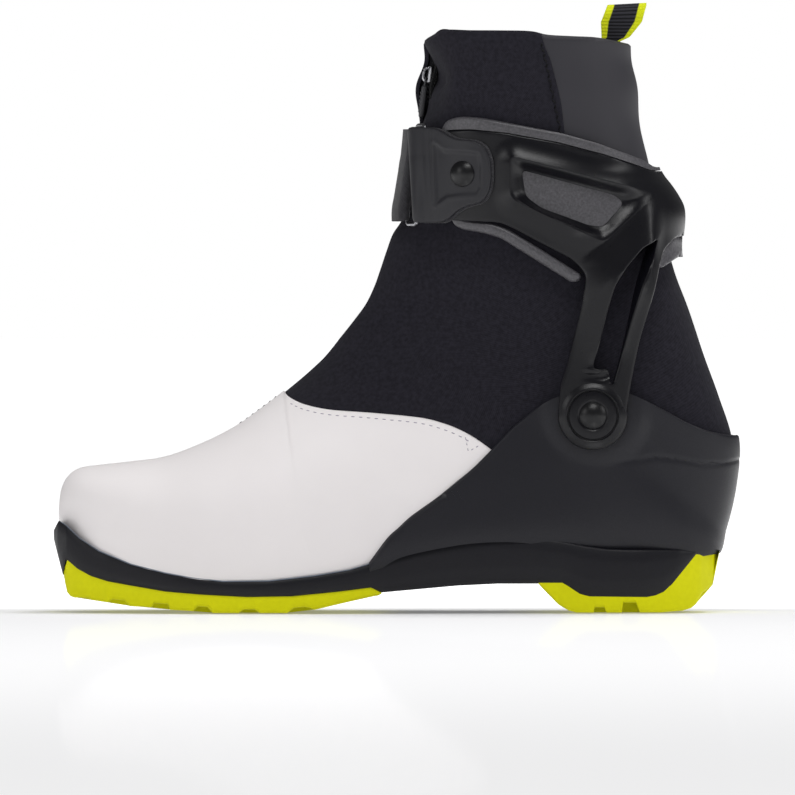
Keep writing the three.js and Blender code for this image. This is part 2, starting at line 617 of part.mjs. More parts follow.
function buildCuffFrame() {
  let frame = cuffShell(0, FRAME_WALL).intersect(across(FRAME_OUTLINE, -80, 80, [LEG_SLOT, WINDOW]));
  const bezel = cuffShell(-BEZEL_RISE, 0.5).intersect(across(BEZEL, -80, 80, [WINDOW]));
  frame = frame.add(bezel);
  for (const side of [-1, 1]) {
    frame = frame.subtract(onPivot(side, 0, 60, EYE_RADIUS));
    frame = frame.subtract(onPivot(side, 0, EYE_INNER, BOSS_RADIUS + RUNNING_CLEARANCE));
    frame = frame.add(onPivot(side, EYE_INNER, EYE_OUTER, EYE_RADIUS + 0.05));
    frame = frame.subtract(onPivot(side, DISC_SEAT, EYE_OUTER + 5, DISC_RADIUS + BORE_CLEARANCE));
    frame = frame.subtract(onPivot(side, 0, 60, SHANK_RADIUS + BORE_CLEARANCE));
  }
  frame = frame.subtract(strapShank('lateral', BORE_CLEARANCE)).subtract(strapShank('medial', BORE_CLEARANCE));
  piece('cuff_frame', frame.subtract(last(-GAP)), colours.frame);
  const liner = cuffShell(FRAME_WALL + GAP, FRAME_WALL + GAP + CUFF_LINER_WALL).intersect(across(LINER_OUTLINE));
  piece('cuff_liner', liner.subtract(last(-GAP)), colours.grain);
}

function buildPivot(side, label) {
  const [x, z] = PIVOT;
  const inward = new THREE.Vector3(x, side * (WASHER_SEAT - GAP - WASHER), z);
  const outward = new THREE.Vector3(x, side * 60, z);
  const head = EYE_OUTER + GAP - (WASHER_SEAT - GAP - WASHER);
  piece(`pivot_rivet_${label}`, turned(inward, outward, [
    [0, 0], [SHANK_RADIUS, 0], [SHANK_RADIUS, head], [RIVET_HEAD_RADIUS, head], [RIVET_HEAD_RADIUS, head + 0.5],
    [RIVET_HEAD_RADIUS * 0.8, head + 1.3], [RIVET_HEAD_RADIUS * 0.4, head + 1.75], [0, head + 1.9],
  ], 16), colours.steel);
  const bore = onPivot(side, 0, 60, SHANK_RADIUS + BORE_CLEARANCE);
  piece(`pivot_disc_${label}`, onPivot(side, DISC_SEAT + GAP, EYE_OUTER, DISC_RADIUS).subtract(bore),
    colours.frame);
  piece(`pivot_washer_${label}`, onPivot(side, WASHER_SEAT - GAP - WASHER, WASHER_SEAT - GAP, WASHER_RADIUS, 20)
    .subtract(bore), colours.steel);
}

// ---------------------------------------------------------------- strap

const RIVET_PLACE = {
  lateral: { spot: at(27.9, 184), side: -1, base: ANCHOR },
  medial: { spot: at(40.6, 184), side: 1, base: STRAP },
};

function strapShank(label, clearance) {
  const { spot, side, base } = RIVET_PLACE[label];
  const { point, normal } = onCuff(spot[0], spot[1], side, 0);
  const start = point.clone().addScaledVector(normal, clearance ? -6 : -FRAME_WALL + GAP);
  const end = point.clone().addScaledVector(normal, clearance ? base + 6 : base + 2 * GAP);
  return rod(start, end, STRAP_SHANK_RADIUS + clearance, 12);
}

function strapRivet(label) {
  const { spot, side, base } = RIVET_PLACE[label];
  const { point, normal } = onCuff(spot[0], spot[1], side, 0);
  const under = point.clone().addScaledVector(normal, base + 2 * GAP + 0.1);
  const head = turned(under, under.clone().add(normal), [
    [0, 0], [STRAP_RIVET_RADIUS, 0], [STRAP_RIVET_RADIUS, 0.5], [STRAP_RIVET_RADIUS * 0.75, 1.3],
    [STRAP_RIVET_RADIUS * 0.35, 1.7], [0, 1.8],
  ], 16);
  const shank = rod(point.clone().addScaledVector(normal, -FRAME_WALL + GAP),
    under.clone().addScaledVector(normal, 0.3), STRAP_SHANK_RADIUS, 12);
  return head.add(shank);
}

// The ring's bars lean with the front of the shaft. The strap turns round the front one, and the
// anchor's hem holds the rear one.
const FRONT_BAR = {
  low: barPoint(4.2, 162.9, 17.8),
  high: barPoint(8.4, 204.3, 17.8),
};
const REAR_BAR = {
  low: barPoint(10.6, 162.9, 0),
  high: barPoint(10.6, 204.3, 0),
};

function barPoint(x, z, width) {
  const [px, pz] = at(x, z);
  const y = width ? -width * WIDE : onCuff(px, Math.min(pz, 204 * TALL), -1, 1.2).point.y;
  return new THREE.Vector3(px, y, pz);
}

function between(bar, z) {
  const share = (z - bar.low.z) / (bar.high.z - bar.low.z);
  return bar.low.clone().lerp(bar.high, share);
}

// A rod along a bar that runs past both edges of the strap
function alongBar(bar, radius, segments) {
  return rod(between(bar, STRAP_BOTTOM - 20), between(bar, STRAP_TOP + 20), radius, segments);
}

function sleeve(bar) {
  const start = between(bar, STRAP_BOTTOM + 0.4);
  const end = between(bar, STRAP_TOP - 0.4);
  return rod(start, end, SLEEVE_RADIUS, 14).subtract(alongBar(bar, WIRE_RADIUS + GAP, 12));
}

const ANCHOR_OUTLINE = outline([
  [10.6, 202.4], [17.9, 202.4], [23.4, 198.7], [33, 197.6], [38.5, 193.2], [40, 187.7], [39.4, 177.2],
  [36.4, 172.1], [27.2, 170], [24.2, 167.5], [18.3, 164.8], [10.6, 164.8],
]);

function buildStrap() {
  const band = (y0, x1) => box([-40, x1], [y0, 80], [STRAP_BOTTOM, STRAP_TOP]);
  const frontY = FRONT_BAR.low.y;
  const aroundFrontBar = alongBar(FRONT_BAR, SLEEVE_RADIUS + GAP, 14);
  const inner = cuffShell(-GAP - STRAP, -GAP).intersect(band(frontY + 1, 47 * LONG))
    .subtract(aroundFrontBar).subtract(last(-GAP)).subtract(strapShank('medial', BORE_CLEARANCE));
  piece('strap_inner', inner, colours.strap);
  const flapFace = 2 * GAP + STRAP;
  const flap = cuffShell(-flapFace - STRAP, -flapFace).intersect(band(frontY, 34 * LONG)).add(sleeve(FRONT_BAR))
    .subtract(alongBar(FRONT_BAR, WIRE_RADIUS + GAP, 12));
  piece('strap_flap', flap, colours.strap);

  const anchor = cuffShell(-GAP - ANCHOR, -GAP).intersect(across(ANCHOR_OUTLINE, -80, 0)).add(sleeve(REAR_BAR))
    .subtract(alongBar(REAR_BAR, WIRE_RADIUS + GAP, 12))
    .subtract(strapShank('lateral', BORE_CLEARANCE));
  piece('strap_anchor', anchor, colours.strap);

  const corners = [FRONT_BAR.low, FRONT_BAR.high, REAR_BAR.high, REAR_BAR.low];
  const ring = corners.map((corner, i) => {
    const ball = new THREE.SphereGeometry(WIRE_RADIUS, 8, 6);
    ball.translate(corner.x, corner.y, corner.z);
    return rod(corner, corners[(i + 1) % 4], WIRE_RADIUS, 8).add(solid(ball));
  });
  piece('strap_ring', union(ring), colours.steel);
  piece('strap_rivet_lateral', strapRivet('lateral'), colours.steel);
  piece('strap_rivet_medial', strapRivet('medial'), colours.steel);
}

// ---------------------------------------------------------------- slider, puller and loop

// Where the front of the upper's outer face is at one height
function frontAt(z) {
  const index = STATIONS.findIndex((station) => station.front[1] >= z);
  const [low, high] = [STATIONS[index - 1].front, STATIONS[index].front];
  return low[0] + (high[0] - low[0]) * (z - low[1]) / (high[1] - low[1]);
}

const SLIDER_AT = [frontAt(SLIDER.height) + ZIP_FACE - SLIDER.depth / 2 - SLIDER.standoff, SLIDER.height];
const SLIDER_LEAN = 12 * Math.PI / 180;
const PULLER_PIN = { out: 1.95, up: -2.2 };

// A block in the slider's own frame (out of the shaft, across, up), leaned with the zip
function onSlider([o0, o1], [y0, y1], [u0, u1]) {
  const geometry = new THREE.BoxGeometry(o1 - o0, y1 - y0, u1 - u0);
  geometry.translate(-(o0 + o1) / 2, (y0 + y1) / 2, (u0 + u1) / 2);
  geometry.rotateY(SLIDER_LEAN);
  geometry.translate(SLIDER_AT[0], 0, SLIDER_AT[1]);
  return solid(geometry);
}

function buildSlider() {
  const { width, length, depth } = SLIDER;
  const { half, top, bottom, outer, wall, foot, sink } = BRIDGE;
  const bridge = union([
    onSlider([depth / 2 - sink, outer], [-half, half], [top - 2 * foot + sink, top]),
    onSlider([outer - wall, outer], [-half, half], [bottom, top]),
    onSlider([depth / 2 - sink, outer], [-half, half], [bottom, bottom + foot]),
  ]);
  piece('zip_slider', onSlider([-depth / 2, depth / 2], [-width / 2, width / 2], [-length / 2, length / 2])
    .add(bridge), colours.steel);

  const { out, up } = PULLER_PIN;
  const { pin, arm, armInner, armOuter, eye } = PULLER;
  const armOut = [out - arm / 2, out + arm / 2];
  const gripBack = out - 0.65;
  const puller = union([
    onSlider([out - pin, out + pin], [-armOuter, armOuter], [up - pin, up + pin]),
    onSlider(armOut, [-armOuter, -armInner], [up - eye, up + pin]),
    onSlider(armOut, [armInner, armOuter], [up - eye, up + pin]),
    onSlider([gripBack, gripBack + PULLER.thick], [-PULLER.width / 2, PULLER.width / 2],
      [up + sink - eye - PULLER.length, up + sink - eye]),
  ]);
  piece('zip_puller', puller, colours.strap);
}

// A band that goes up, over in a half circle and down again across the boot, cut to its side outline
function buildPullLoop() {
  const { half, web, low, spring } = LOOP;
  const steps = 8;
  const section = (r) => {
    const arc = [];
    for (let i = 0; i <= steps; i += 1) {
      const angle = Math.PI * i / steps;
      arc.push([r * Math.cos(angle), spring + r * Math.sin(angle)]);
    }
    return arc;
  };
  const shape = new THREE.Shape([[half, low], ...section(half), [-half, low], [-half + web, low],
    ...section(half - web).reverse(), [half - web, low]].map(([y, z]) => new THREE.Vector2(y, z)));
  const geometry = new THREE.ExtrudeGeometry(shape, { depth: 80, bevelEnabled: false });
  geometry.rotateX(Math.PI / 2);
  geometry.rotateZ(Math.PI / 2);
  geometry.translate(60 * LONG, 0, 0);
  const collarFace = STATIONS[TOP].back[0] - FOOT_FACE;
  const side = across([[-15.3, 225], [-3.7, 225], [-2.3, 236], [8.7, 257], [-5.8, 257], [-13.8, 238]]
    .map(([x, z]) => [collarFace + x, z * TALL]));
  piece('pull_loop', solid(geometry).intersect(side), colours.strap);
}

buildUpper();
buildZip();
buildCounter();
buildSole();
buildCuffFrame();
buildPivot(-1, 'lateral');
buildPivot(1, 'medial');
buildStrap();
buildSlider();
buildPullLoop();

export default group;
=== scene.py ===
"""Looks of a cross-country skating boot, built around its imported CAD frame.

Shapes are worked out in millimetres and put into Blender in metres. +X runs from the toe to the heel,
-Y is the outer side of the left foot and +Z is up, with the ground at Z = 0.
"""

import json
import math

import bpy
import numpy as np
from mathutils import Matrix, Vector
from mathutils.geometry import delaunay_2d_cdt


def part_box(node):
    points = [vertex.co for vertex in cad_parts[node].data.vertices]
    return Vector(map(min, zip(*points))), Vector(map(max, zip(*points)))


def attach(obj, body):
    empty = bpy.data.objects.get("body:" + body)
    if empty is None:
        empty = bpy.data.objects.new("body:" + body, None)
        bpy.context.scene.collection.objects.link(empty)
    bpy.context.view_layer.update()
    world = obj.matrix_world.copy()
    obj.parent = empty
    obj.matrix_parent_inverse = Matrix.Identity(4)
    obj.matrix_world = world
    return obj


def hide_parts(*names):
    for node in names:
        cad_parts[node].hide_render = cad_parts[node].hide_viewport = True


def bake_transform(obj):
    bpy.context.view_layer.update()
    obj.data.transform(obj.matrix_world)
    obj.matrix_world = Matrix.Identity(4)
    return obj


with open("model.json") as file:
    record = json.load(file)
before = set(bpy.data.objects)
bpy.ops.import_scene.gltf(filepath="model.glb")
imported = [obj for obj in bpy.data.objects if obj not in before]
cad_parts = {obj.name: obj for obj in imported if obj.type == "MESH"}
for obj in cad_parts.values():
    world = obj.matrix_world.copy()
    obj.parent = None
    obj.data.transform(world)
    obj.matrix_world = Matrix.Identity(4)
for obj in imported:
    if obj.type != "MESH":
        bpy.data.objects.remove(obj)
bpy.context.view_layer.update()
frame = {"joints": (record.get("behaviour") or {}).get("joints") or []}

MM = 0.001
LATERAL, MEDIAL = -1, 1
JOINTS = {joint["name"]: joint for joint in frame["joints"]}


# ---------------------------------------------------------------- materials

class Link:
    """A node's output socket, with arithmetic that adds Math nodes."""

    def __init__(self, finish, socket):
        self.finish = finish
        self.socket = socket

    def math(self, operation, *values, clamp=False):
        """One Math node on this value and up to two more."""
        numbered = {i: value for i, value in enumerate((self, *values))}
        return self.finish.node("ShaderNodeMath", {"operation": operation, "use_clamp": clamp}, numbered)

    def __add__(self, other):
        return self.math("ADD", other)

    def __radd__(self, other):
        return self.math("ADD", other)

    def __sub__(self, other):
        return self.math("SUBTRACT", other)

    def __rsub__(self, other):
        return self.finish.node("ShaderNodeMath", {"operation": "SUBTRACT"}, {0: other, 1: self})

    def __mul__(self, other):
        return self.math("MULTIPLY", other)

    def __rmul__(self, other):
        return self.math("MULTIPLY", other)

    def sine(self):
        return self.math("SINE")

    def above(self, edge, width):
        """0 below edge and 1 above it, over a soft step of that width."""
        return ((self - (edge - width / 2)) * (1 / width)).math("MAXIMUM", 0.0, clamp=True)


class Finish:
    """A procedural material: one Principled shader, and one method for every other node."""

    def __init__(self, name, colour, roughness, metallic=0.0, specular=0.5, coat=0.0, coat_roughness=0.1, sheen=0.0):
        self.material = bpy.data.materials.new(name)
        self.material.use_nodes = True
        self.tree = self.material.node_tree
        self.shader = self.tree.nodes["Principled BSDF"]
        self.set("Base Color", (*colour, 1))
        self.set("Roughness", roughness)
        self.set("Metallic", metallic)
        self.set("Specular IOR Level", specular)
        self.set("Coat Weight", coat)
        self.set("Coat Roughness", coat_roughness)
        self.set("Sheen Weight", sheen)
        self.colour = colour

    def set(self, name, value):
        """Sets one input of the shader to a number, a colour or a link."""
        if isinstance(value, Link):
            self.tree.links.new(value.socket, self.shader.inputs[name])
        else:
            self.shader.inputs[name].default_value = value

    def node(self, kind, settings=None, inputs=None, output=0):
        """Adds a node: settings are its own options and inputs are numbers, colours or links."""
        node = self.tree.nodes.new(kind)
        for key, value in (settings or {}).items():
            setattr(node, key, value)
        for key, value in (inputs or {}).items():
            if isinstance(value, Link):
                self.tree.links.new(value.socket, node.inputs[key])
            else:
                node.inputs[key].default_value = value
        return Link(self, node.outputs[output])

    def place(self, name="Object"):
        """Object coordinates, or the piece's UV map, both in metres."""
        return self.node("ShaderNodeTexCoord", output=name)

    def noise(self, scale, detail=2.0, where=None, stretch=None):
        where = where or self.place()
        if stretch:
            where = self.node("ShaderNodeMapping", inputs={"Vector": where, "Scale": stretch})
        return self.node("ShaderNodeTexNoise", inputs={"Vector": where, "Scale": scale, "Detail": detail})

    def axis(self, index, where=None):
        return self.node("ShaderNodeSeparateXYZ", inputs={0: where or self.place()}, output=index)

    def mix(self, factor, first, second):
        """A colour between two, by a factor over the surface."""
        settings = {"data_type": "RGBA"}
        pair = {6: first if isinstance(first, Link) else (*first, 1),
                7: second if isinstance(second, Link) else (*second, 1)}
        return self.node("ShaderNodeMix", settings, {0: factor, **pair}, output=2)

    def bump(self, height, strength, distance):
        """Raises the surface by a height from 0 to 1 times distance in metres."""
        self.set("Normal", self.node("ShaderNodeBump", inputs={
            "Height": height, "Strength": strength, "Distance": distance}))
        return self

    def vary(self, factor, darker, roughness=None):
        """Colour falls to a share, and roughness may run between two values, with the factor."""
        dark = tuple(channel * darker for channel in self.colour)
        self.set("Base Color", self.mix(factor, dark, self.colour))
        if roughness:
            self.set("Roughness", factor * (roughness[1] - roughness[0]) + roughness[0])
        return self


def coated_leather(name, colour, roughness):
    """Smooth coated leather: a fine pebble, and broad faint changes of tone."""
    finish = Finish(name, colour, roughness, specular=0.4)
    pebble = finish.noise(1400, 3)
    cloud = finish.noise(28, 2)
    finish.vary(cloud.above(0.5, 0.5), 0.965, (roughness + 0.05, roughness - 0.04))
    return finish.bump(pebble * 0.7 + cloud * 0.3, 0.25, 0.0001)


def woven(name, colour, pitch, roughness=0.9, sheen=0.0, specular=0.15, depth=0.00012):
    """Woven cloth: two sine waves along the piece's UV, with uneven threads."""
    finish = Finish(name, colour, roughness, specular=specular, sheen=sheen)
    uv = finish.place("UV")
    turns = 2 * math.pi / pitch
    along, across = (finish.axis(index, uv) * turns for index in (0, 1))
    weave = (along.sine() * across.sine()) * 0.5 + 0.5
    uneven = finish.noise(620, 5)
    finish.vary((weave * 0.35 + uneven * 0.9).above(0.62, 0.5), 0.5)
    return finish.bump(weave * 0.6 + uneven * 0.5, 0.5, depth)


def moulded(name, colour, roughness, grain, strength, specular=0.5, darker=0.75):
    """Moulded plastic or rubber: spark-eroded grain, and rubbed patches a little glossier."""
    finish = Finish(name, colour, roughness, specular=specular)
    fine = finish.noise(grain, 2)
    broad = finish.noise(45, 3)
    finish.vary(fine.above(0.5, 0.6), darker, (roughness + 0.06, roughness - 0.05))
    return finish.bump(fine * 0.8 + broad * 0.2, strength, 0.00012)


def metal(name, colour, roughness):
    """Plated metal, brushed a little along one way."""
    finish = Finish(name, colour, roughness, metallic=1.0)
    brushed = finish.noise(400, 3, stretch=(8, 8, 0.6))
    finish.vary(brushed, 0.75, (roughness + 0.1, roughness - 0.05))
    return finish.bump(brushed, 0.08, 0.00005)


def ribbed_webbing(name, colour, edge_colour, edge, half, pitch):
    """Ribbed ribbon: ribs across it and a bright woven edge along each side. UV runs along and across."""
    finish = Finish(name, colour, 0.85, specular=0.2)
    uv = finish.place("UV")
    along, across = finish.axis(0, uv), finish.axis(1, uv)
    ribs = (along * (2 * math.pi / pitch)).sine() * 0.5 + 0.5
    threads = finish.noise(1500, 2)
    side = across.math("ABSOLUTE").above(half - edge, 0.0004)
    body = finish.mix(ribs.above(0.35, 0.6), tuple(c * 0.25 for c in colour), tuple(c * 1.6 for c in colour))
    bright = finish.mix(threads, tuple(c * 0.7 for c in edge_colour), edge_colour)
    finish.set("Base Color", finish.mix(side, body, bright))
    return finish.bump(ribs * 0.8 + threads * 0.4, 0.7, 0.0003)


MATERIALS = {
    "toe_leather": coated_leather("toe_leather", (0.83, 0.795, 0.797), 0.5),
    "softshell": woven("softshell", (0.0200, 0.0190, 0.0262), 0.0009, specular=0.1, sheen=0.015),
    "coated_panel": coated_leather("coated_panel", (0.0225, 0.0215, 0.0275), 0.55),
    "lining": woven("lining", (0.020, 0.020, 0.024), 0.0016, sheen=0.1, depth=0.0003),
    "insole_foam": woven("insole_foam", (0.045, 0.045, 0.052), 0.0012, sheen=0.05),
    "counter_plastic": moulded("counter_plastic", (0.0125, 0.0123, 0.0172), 0.42, 1500, 0.08, specular=0.34),
    "sole_plastic": moulded("sole_plastic", (0.0085, 0.0083, 0.0120), 0.44, 1500, 0.10, specular=0.3),
    "sole_rubber": moulded("sole_rubber", (0.72, 0.715, 0.0), 0.5, 500, 0.05, specular=0.15, darker=0.93),
    "cuff_plastic": moulded("cuff_plastic", (0.0035, 0.0034, 0.0055), 0.31, 1900, 0.16, specular=0.34),
    "cuff_grain": moulded("cuff_grain", (0.085, 0.082, 0.092), 0.42, 1100, 1.0, specular=0.6, darker=0.35),
    "strap_web": woven("strap_web", (0.042, 0.041, 0.046), 0.0013, sheen=0.12, depth=0.0004),
    "anchor_plastic": coated_leather("anchor_plastic", (0.0145, 0.0143, 0.0180), 0.5),
    "zip_tape": woven("zip_tape", (0.010, 0.010, 0.011), 0.0011),
    "zip_metal": metal("zip_metal", (0.45, 0.45, 0.47), 0.32),
    "puller_rubber": moulded("puller_rubber", (0.045, 0.045, 0.05), 0.5, 1200, 0.3),
    "rivet_metal": Finish("rivet_metal", (0.003, 0.003, 0.004), 0.36, specular=0.4),
    "steel": metal("steel", (0.30, 0.30, 0.32), 0.3),
    "loop_web": ribbed_webbing("loop_web", (0.018, 0.018, 0.022), (0.72, 0.78, 0.01), 0.0024, 0.0066, 0.0014),
    "board": Finish("board", (0.3, 0.26, 0.2), 0.85),
}
THREADS = {
    "pale": Finish("pale_thread", (0.36, 0.33, 0.4), 0.8, specular=0.2),
    "dark": Finish("dark_thread", (0.006, 0.006, 0.007), 0.75, specular=0.2),
    "cream": Finish("cut_edge", (0.55, 0.47, 0.38), 0.7, specular=0.2),
    # The edge cord colour is a painted highlight: light caught along the sole plate's top lip and the heel counter's
    # front edge.
    "edge": Finish("plate_edge_highlight", (0.16, 0.19, 0.24), 0.5, specular=0.4),
}


# ---------------------------------------------------------------- curves and meshes

def through(table, row):
    """Values at fractional rows of a table, on cubic curves that leave each row along the line
    between its neighbours."""
    table = np.asarray(table, float)
    row = np.clip(np.asarray(row, float), 0, len(table) - 1)
    i = np.minimum(row.astype(int), len(table) - 2)
    t = (row - i)[..., None]
    before, start, end, after = (table[np.clip(i + k, 0, len(table) - 1)] for k in (-1, 0, 1, 2))
    return (start + t * ((end - before) / 2 + t * (before - 2.5 * start + 2 * end - after / 2
            + t * (1.5 * (start - end) + (after - before) / 2))))


def spaced(points, step=None, count=None, smooth=False):
    """Points at equal distances along a line of points, or along a curve through them."""
    points = np.asarray(points, float)
    if smooth:
        points = through(points, np.linspace(0, len(points) - 1, 24 * len(points)))
    length = run_lengths(points)
    count = count or max(2, int(length[-1] / step) + 1)
    along = np.linspace(0, length[-1], count)
    return np.stack([np.interp(along, length, points[:, k]) for k in range(points.shape[1])], 1)


def soft_step(value, start, end):
    t = np.clip((value - start) / (end - start), 0, 1)
    return t * t * (3 - 2 * t)


def roll(distance, radius):
    """How far a quarter-round edge lies below the face, at a distance in from the edge."""
    d = np.clip(radius - distance, 0, radius)
    return radius - np.sqrt(radius * radius - d * d)


def distance_to(points, line, closed=False):
    """The distance from each flat point to a line of points."""
    line = np.asarray(line, float)
    ends = np.roll(line, -1, axis=0) if closed else line[1:]
    starts = line if closed else line[:-1]
    best = np.full(len(points), 1e9)
    for start, end in zip(starts, ends):
        step = end - start
        t = np.clip((points - start) @ step / max(step @ step, 1e-12), 0, 1)
        best = np.minimum(best, np.linalg.norm(points - start - t[:, None] * step, axis=1))
    return best


def inside(points, ring):
    """Whether each flat point lies in a closed outline, by counting the edges to its right."""
    ring = np.asarray(ring, float)
    after = np.roll(ring, -1, axis=0)
    within = np.zeros(len(points), bool)
    for (x0, z0), (x1, z1) in zip(ring, after):
        if z0 != z1:
            crosses = (points[:, 1] >= min(z0, z1)) & (points[:, 1] < max(z0, z1))
            within ^= crosses & (points[:, 0] < x0 + (points[:, 1] - z0) * (x1 - x0) / (z1 - z0))
    return within


def make(name, points, faces, slot, uv=None, sharp=38, material=None):
    """A mesh object from points in millimetres and faces, shaded smooth up to an edge angle.
    Points at one place are merged, with the faces that this leaves empty."""
    points = np.asarray(points, float).reshape(-1, 3)
    faces = np.asarray(faces, int)
    _, first, same = np.unique(np.round(points, 4), axis=0, return_index=True, return_inverse=True)
    same = same.reshape(-1)
    rings = []
    for face in same[faces]:
        ring = [v for k, v in enumerate(face) if v != face[k - 1]]
        if len(set(ring)) >= 3 and len(set(ring)) == len(ring):
            rings.append(ring)
    mesh = bpy.data.meshes.new(name)
    mesh.from_pydata((points[first] * MM).tolist(), [], rings)
    if uv is not None:
        layer = mesh.uv_layers.new(name="UVMap")
        index = np.zeros(len(mesh.loops), int)
        mesh.loops.foreach_get("vertex_index", index)
        layer.data.foreach_set("uv", (np.asarray(uv, float).reshape(-1, 2)[first][index] * MM).ravel())
    mesh.shade_smooth()
    mesh.set_sharp_from_angle(angle=math.radians(sharp))
    mesh.materials.append((material or MATERIALS[slot]).material)
    piece = bpy.data.objects.new(name, mesh)
    bpy.context.scene.collection.objects.link(piece)
    return piece


def quads(rows, columns, wrap=False):
    """The faces of a grid of points, row by row. A wrapped grid joins its last column to its first."""
    row, column = np.meshgrid(np.arange(rows - 1), np.arange(columns if wrap else columns - 1), indexing="ij")
    after = (column + 1) % columns
    corners = [row * columns + column, row * columns + after, (row + 1) * columns + after,
               (row + 1) * columns + column]
    return np.stack([c.ravel() for c in corners], 1)


def run_lengths(path):
    """The distance run along a path at each of its points."""
    return np.r_[0, np.cumsum(np.linalg.norm(np.diff(path, axis=0), axis=1))]


def places(path, length, at):
    """Points of a path at distances along it."""
    return np.stack([np.interp(at, length, path[:, i]) for i in range(3)], -1)


def lengths(grid):
    """UV of a grid of points: the mean distance run along its rows and along its columns."""
    across = np.r_[0, np.cumsum(np.linalg.norm(np.diff(grid, axis=1), axis=2).mean(0))]
    along = np.r_[0, np.cumsum(np.linalg.norm(np.diff(grid, axis=0), axis=2).mean(1))]
    return np.stack(np.broadcast_arrays(along[:, None], across[None, :]), -1)


def shell(outer, inner, faces):
    """A closed wall between two skins with the same faces: the inner skin is turned over, and
    every edge with one face gets a strip that joins the skins. Returns its points and faces."""
    outer, inner = outer.reshape(-1, 3), inner.reshape(-1, 3)
    edges = np.stack([faces, np.roll(faces, -1, axis=1)], -1).reshape(-1, 2)
    key = np.sort(edges, axis=1)
    _, index, count = np.unique(key, axis=0, return_inverse=True, return_counts=True)
    rim = edges[count[index.reshape(-1)] == 1]
    n = len(outer)
    walls = np.stack([rim[:, 1], rim[:, 0], rim[:, 0] + n, rim[:, 1] + n], 1)
    pad = (lambda f: f if f.shape[1] == 4 else np.c_[f, f[:, 2:3]])
    return np.r_[outer, inner], np.r_[pad(faces), pad(faces[:, ::-1] + n), walls]


def outward(points, faces):
    """Turns every face over if they enclose a negative volume."""
    a, b, c = (points[faces[:, k]] for k in (0, 1, 2))
    volume = np.einsum("ij,ij->i", a, np.cross(b, c)).sum()
    if faces.shape[1] == 4:
        volume += np.einsum("ij,ij->i", a, np.cross(c, points[faces[:, 3]])).sum()
    return faces if volume > 0 else faces[:, ::-1]


def wall(name, outer, inner, slot, sharp=38, mirrored=None):
    """A piece with a thickness, from two grids of points. mirrored is its other half, also two grids."""
    points, faces, uv = [], [], []
    for half in ((outer, inner), mirrored):
        if half is not None:
            p, f = shell(half[0], half[1], quads(*half[0].shape[:2]))
            faces.append(outward(p, f) + sum(len(q) for q in points))
            points.append(p)
            uv += [lengths(half[0]).reshape(-1, 2)] * 2
    return make(name, np.concatenate(points), np.concatenate(faces), slot, np.concatenate(uv), sharp)


def loft(name, rings, slot, sharp=38, closed_path=False):
    """A closed solid through rings of points. Each end is closed by a fan to its middle, unless the
    last ring joins the first."""
    rings = np.asarray(rings, float)
    rows, columns = rings.shape[:2]
    if closed_path:
        rings = np.concatenate([rings, rings[:1]])
        faces = quads(rows + 1, columns, wrap=True)
    else:
        first, last = rings[0].mean(0), rings[-1].mean(0)
        rings = np.concatenate([np.broadcast_to(first, (1, columns, 3)), rings,
                                np.broadcast_to(last, (1, columns, 3))])
        faces = quads(rows + 2, columns, wrap=True)
    points = rings.reshape(-1, 3)
    uv = lengths(np.concatenate([rings, rings[:, :1]], axis=1))[:, :-1]
    return make(name, points, outward(points, faces), slot, uv, sharp)


def around(axis):
    """Two directions square to an axis and to each other."""
    axis = np.asarray(axis, float) / np.linalg.norm(axis)
    side = np.cross(axis, (0, 0, 1) if abs(axis[2]) < 0.9 else (1, 0, 0))
    side /= np.linalg.norm(side)
    return axis, side, np.cross(axis, side)


def turned(name, centre, axis, profile, slot, segments=64, sharp=30):
    """A round piece: a profile of (radius, height) turned about an axis through a centre."""
    axis, side, other = around(axis)
    angle = np.linspace(0, 2 * math.pi, segments, endpoint=False)
    ring = np.cos(angle)[:, None] * side + np.sin(angle)[:, None] * other
    rings = [np.asarray(centre) + max(r, 1e-3) * ring + h * axis for r, h in profile]
    return loft(name, rings, slot, sharp)


def wire_loop(name, path, radius, slot, segments):
    """A round wire along a closed path: a circle carried square to the path, without twist."""
    run = np.roll(path, -1, axis=0) - np.roll(path, 1, axis=0)
    run /= np.linalg.norm(run, axis=1)[:, None]
    side = around(run[0])[1]
    rings = []
    angle = np.linspace(0, 2 * math.pi, segments, endpoint=False)
    for point, direction in zip(path, run):
        side = side - (side @ direction) * direction
        side /= np.linalg.norm(side)
        other = np.cross(direction, side)
        rings.append(point + radius * (np.cos(angle)[:, None] * side + np.sin(angle)[:, None] * other))
    return loft(name, rings, slot, closed_path=True)


def many(name, pieces, slot=None, material=None):
    """Joins small lofted shapes, given as lists of rings, into one piece."""
    points, faces = [], []
    for rings in pieces:
        rows, columns = rings.shape[:2]
        ends = [np.broadcast_to(r.mean(0), (1, columns, 3)) for r in (rings[0], rings[-1])]
        grid = np.concatenate([ends[0], rings, ends[1]]).reshape(-1, 3)
        faces.append(outward(grid - grid.mean(0), quads(rows + 2, columns, wrap=True)) + sum(map(len, points)))
        points.append(grid)
    return make(name, np.concatenate(points), np.concatenate(faces), slot, material=material)


# ---------------------------------------------------------------- the last, which the upper follows

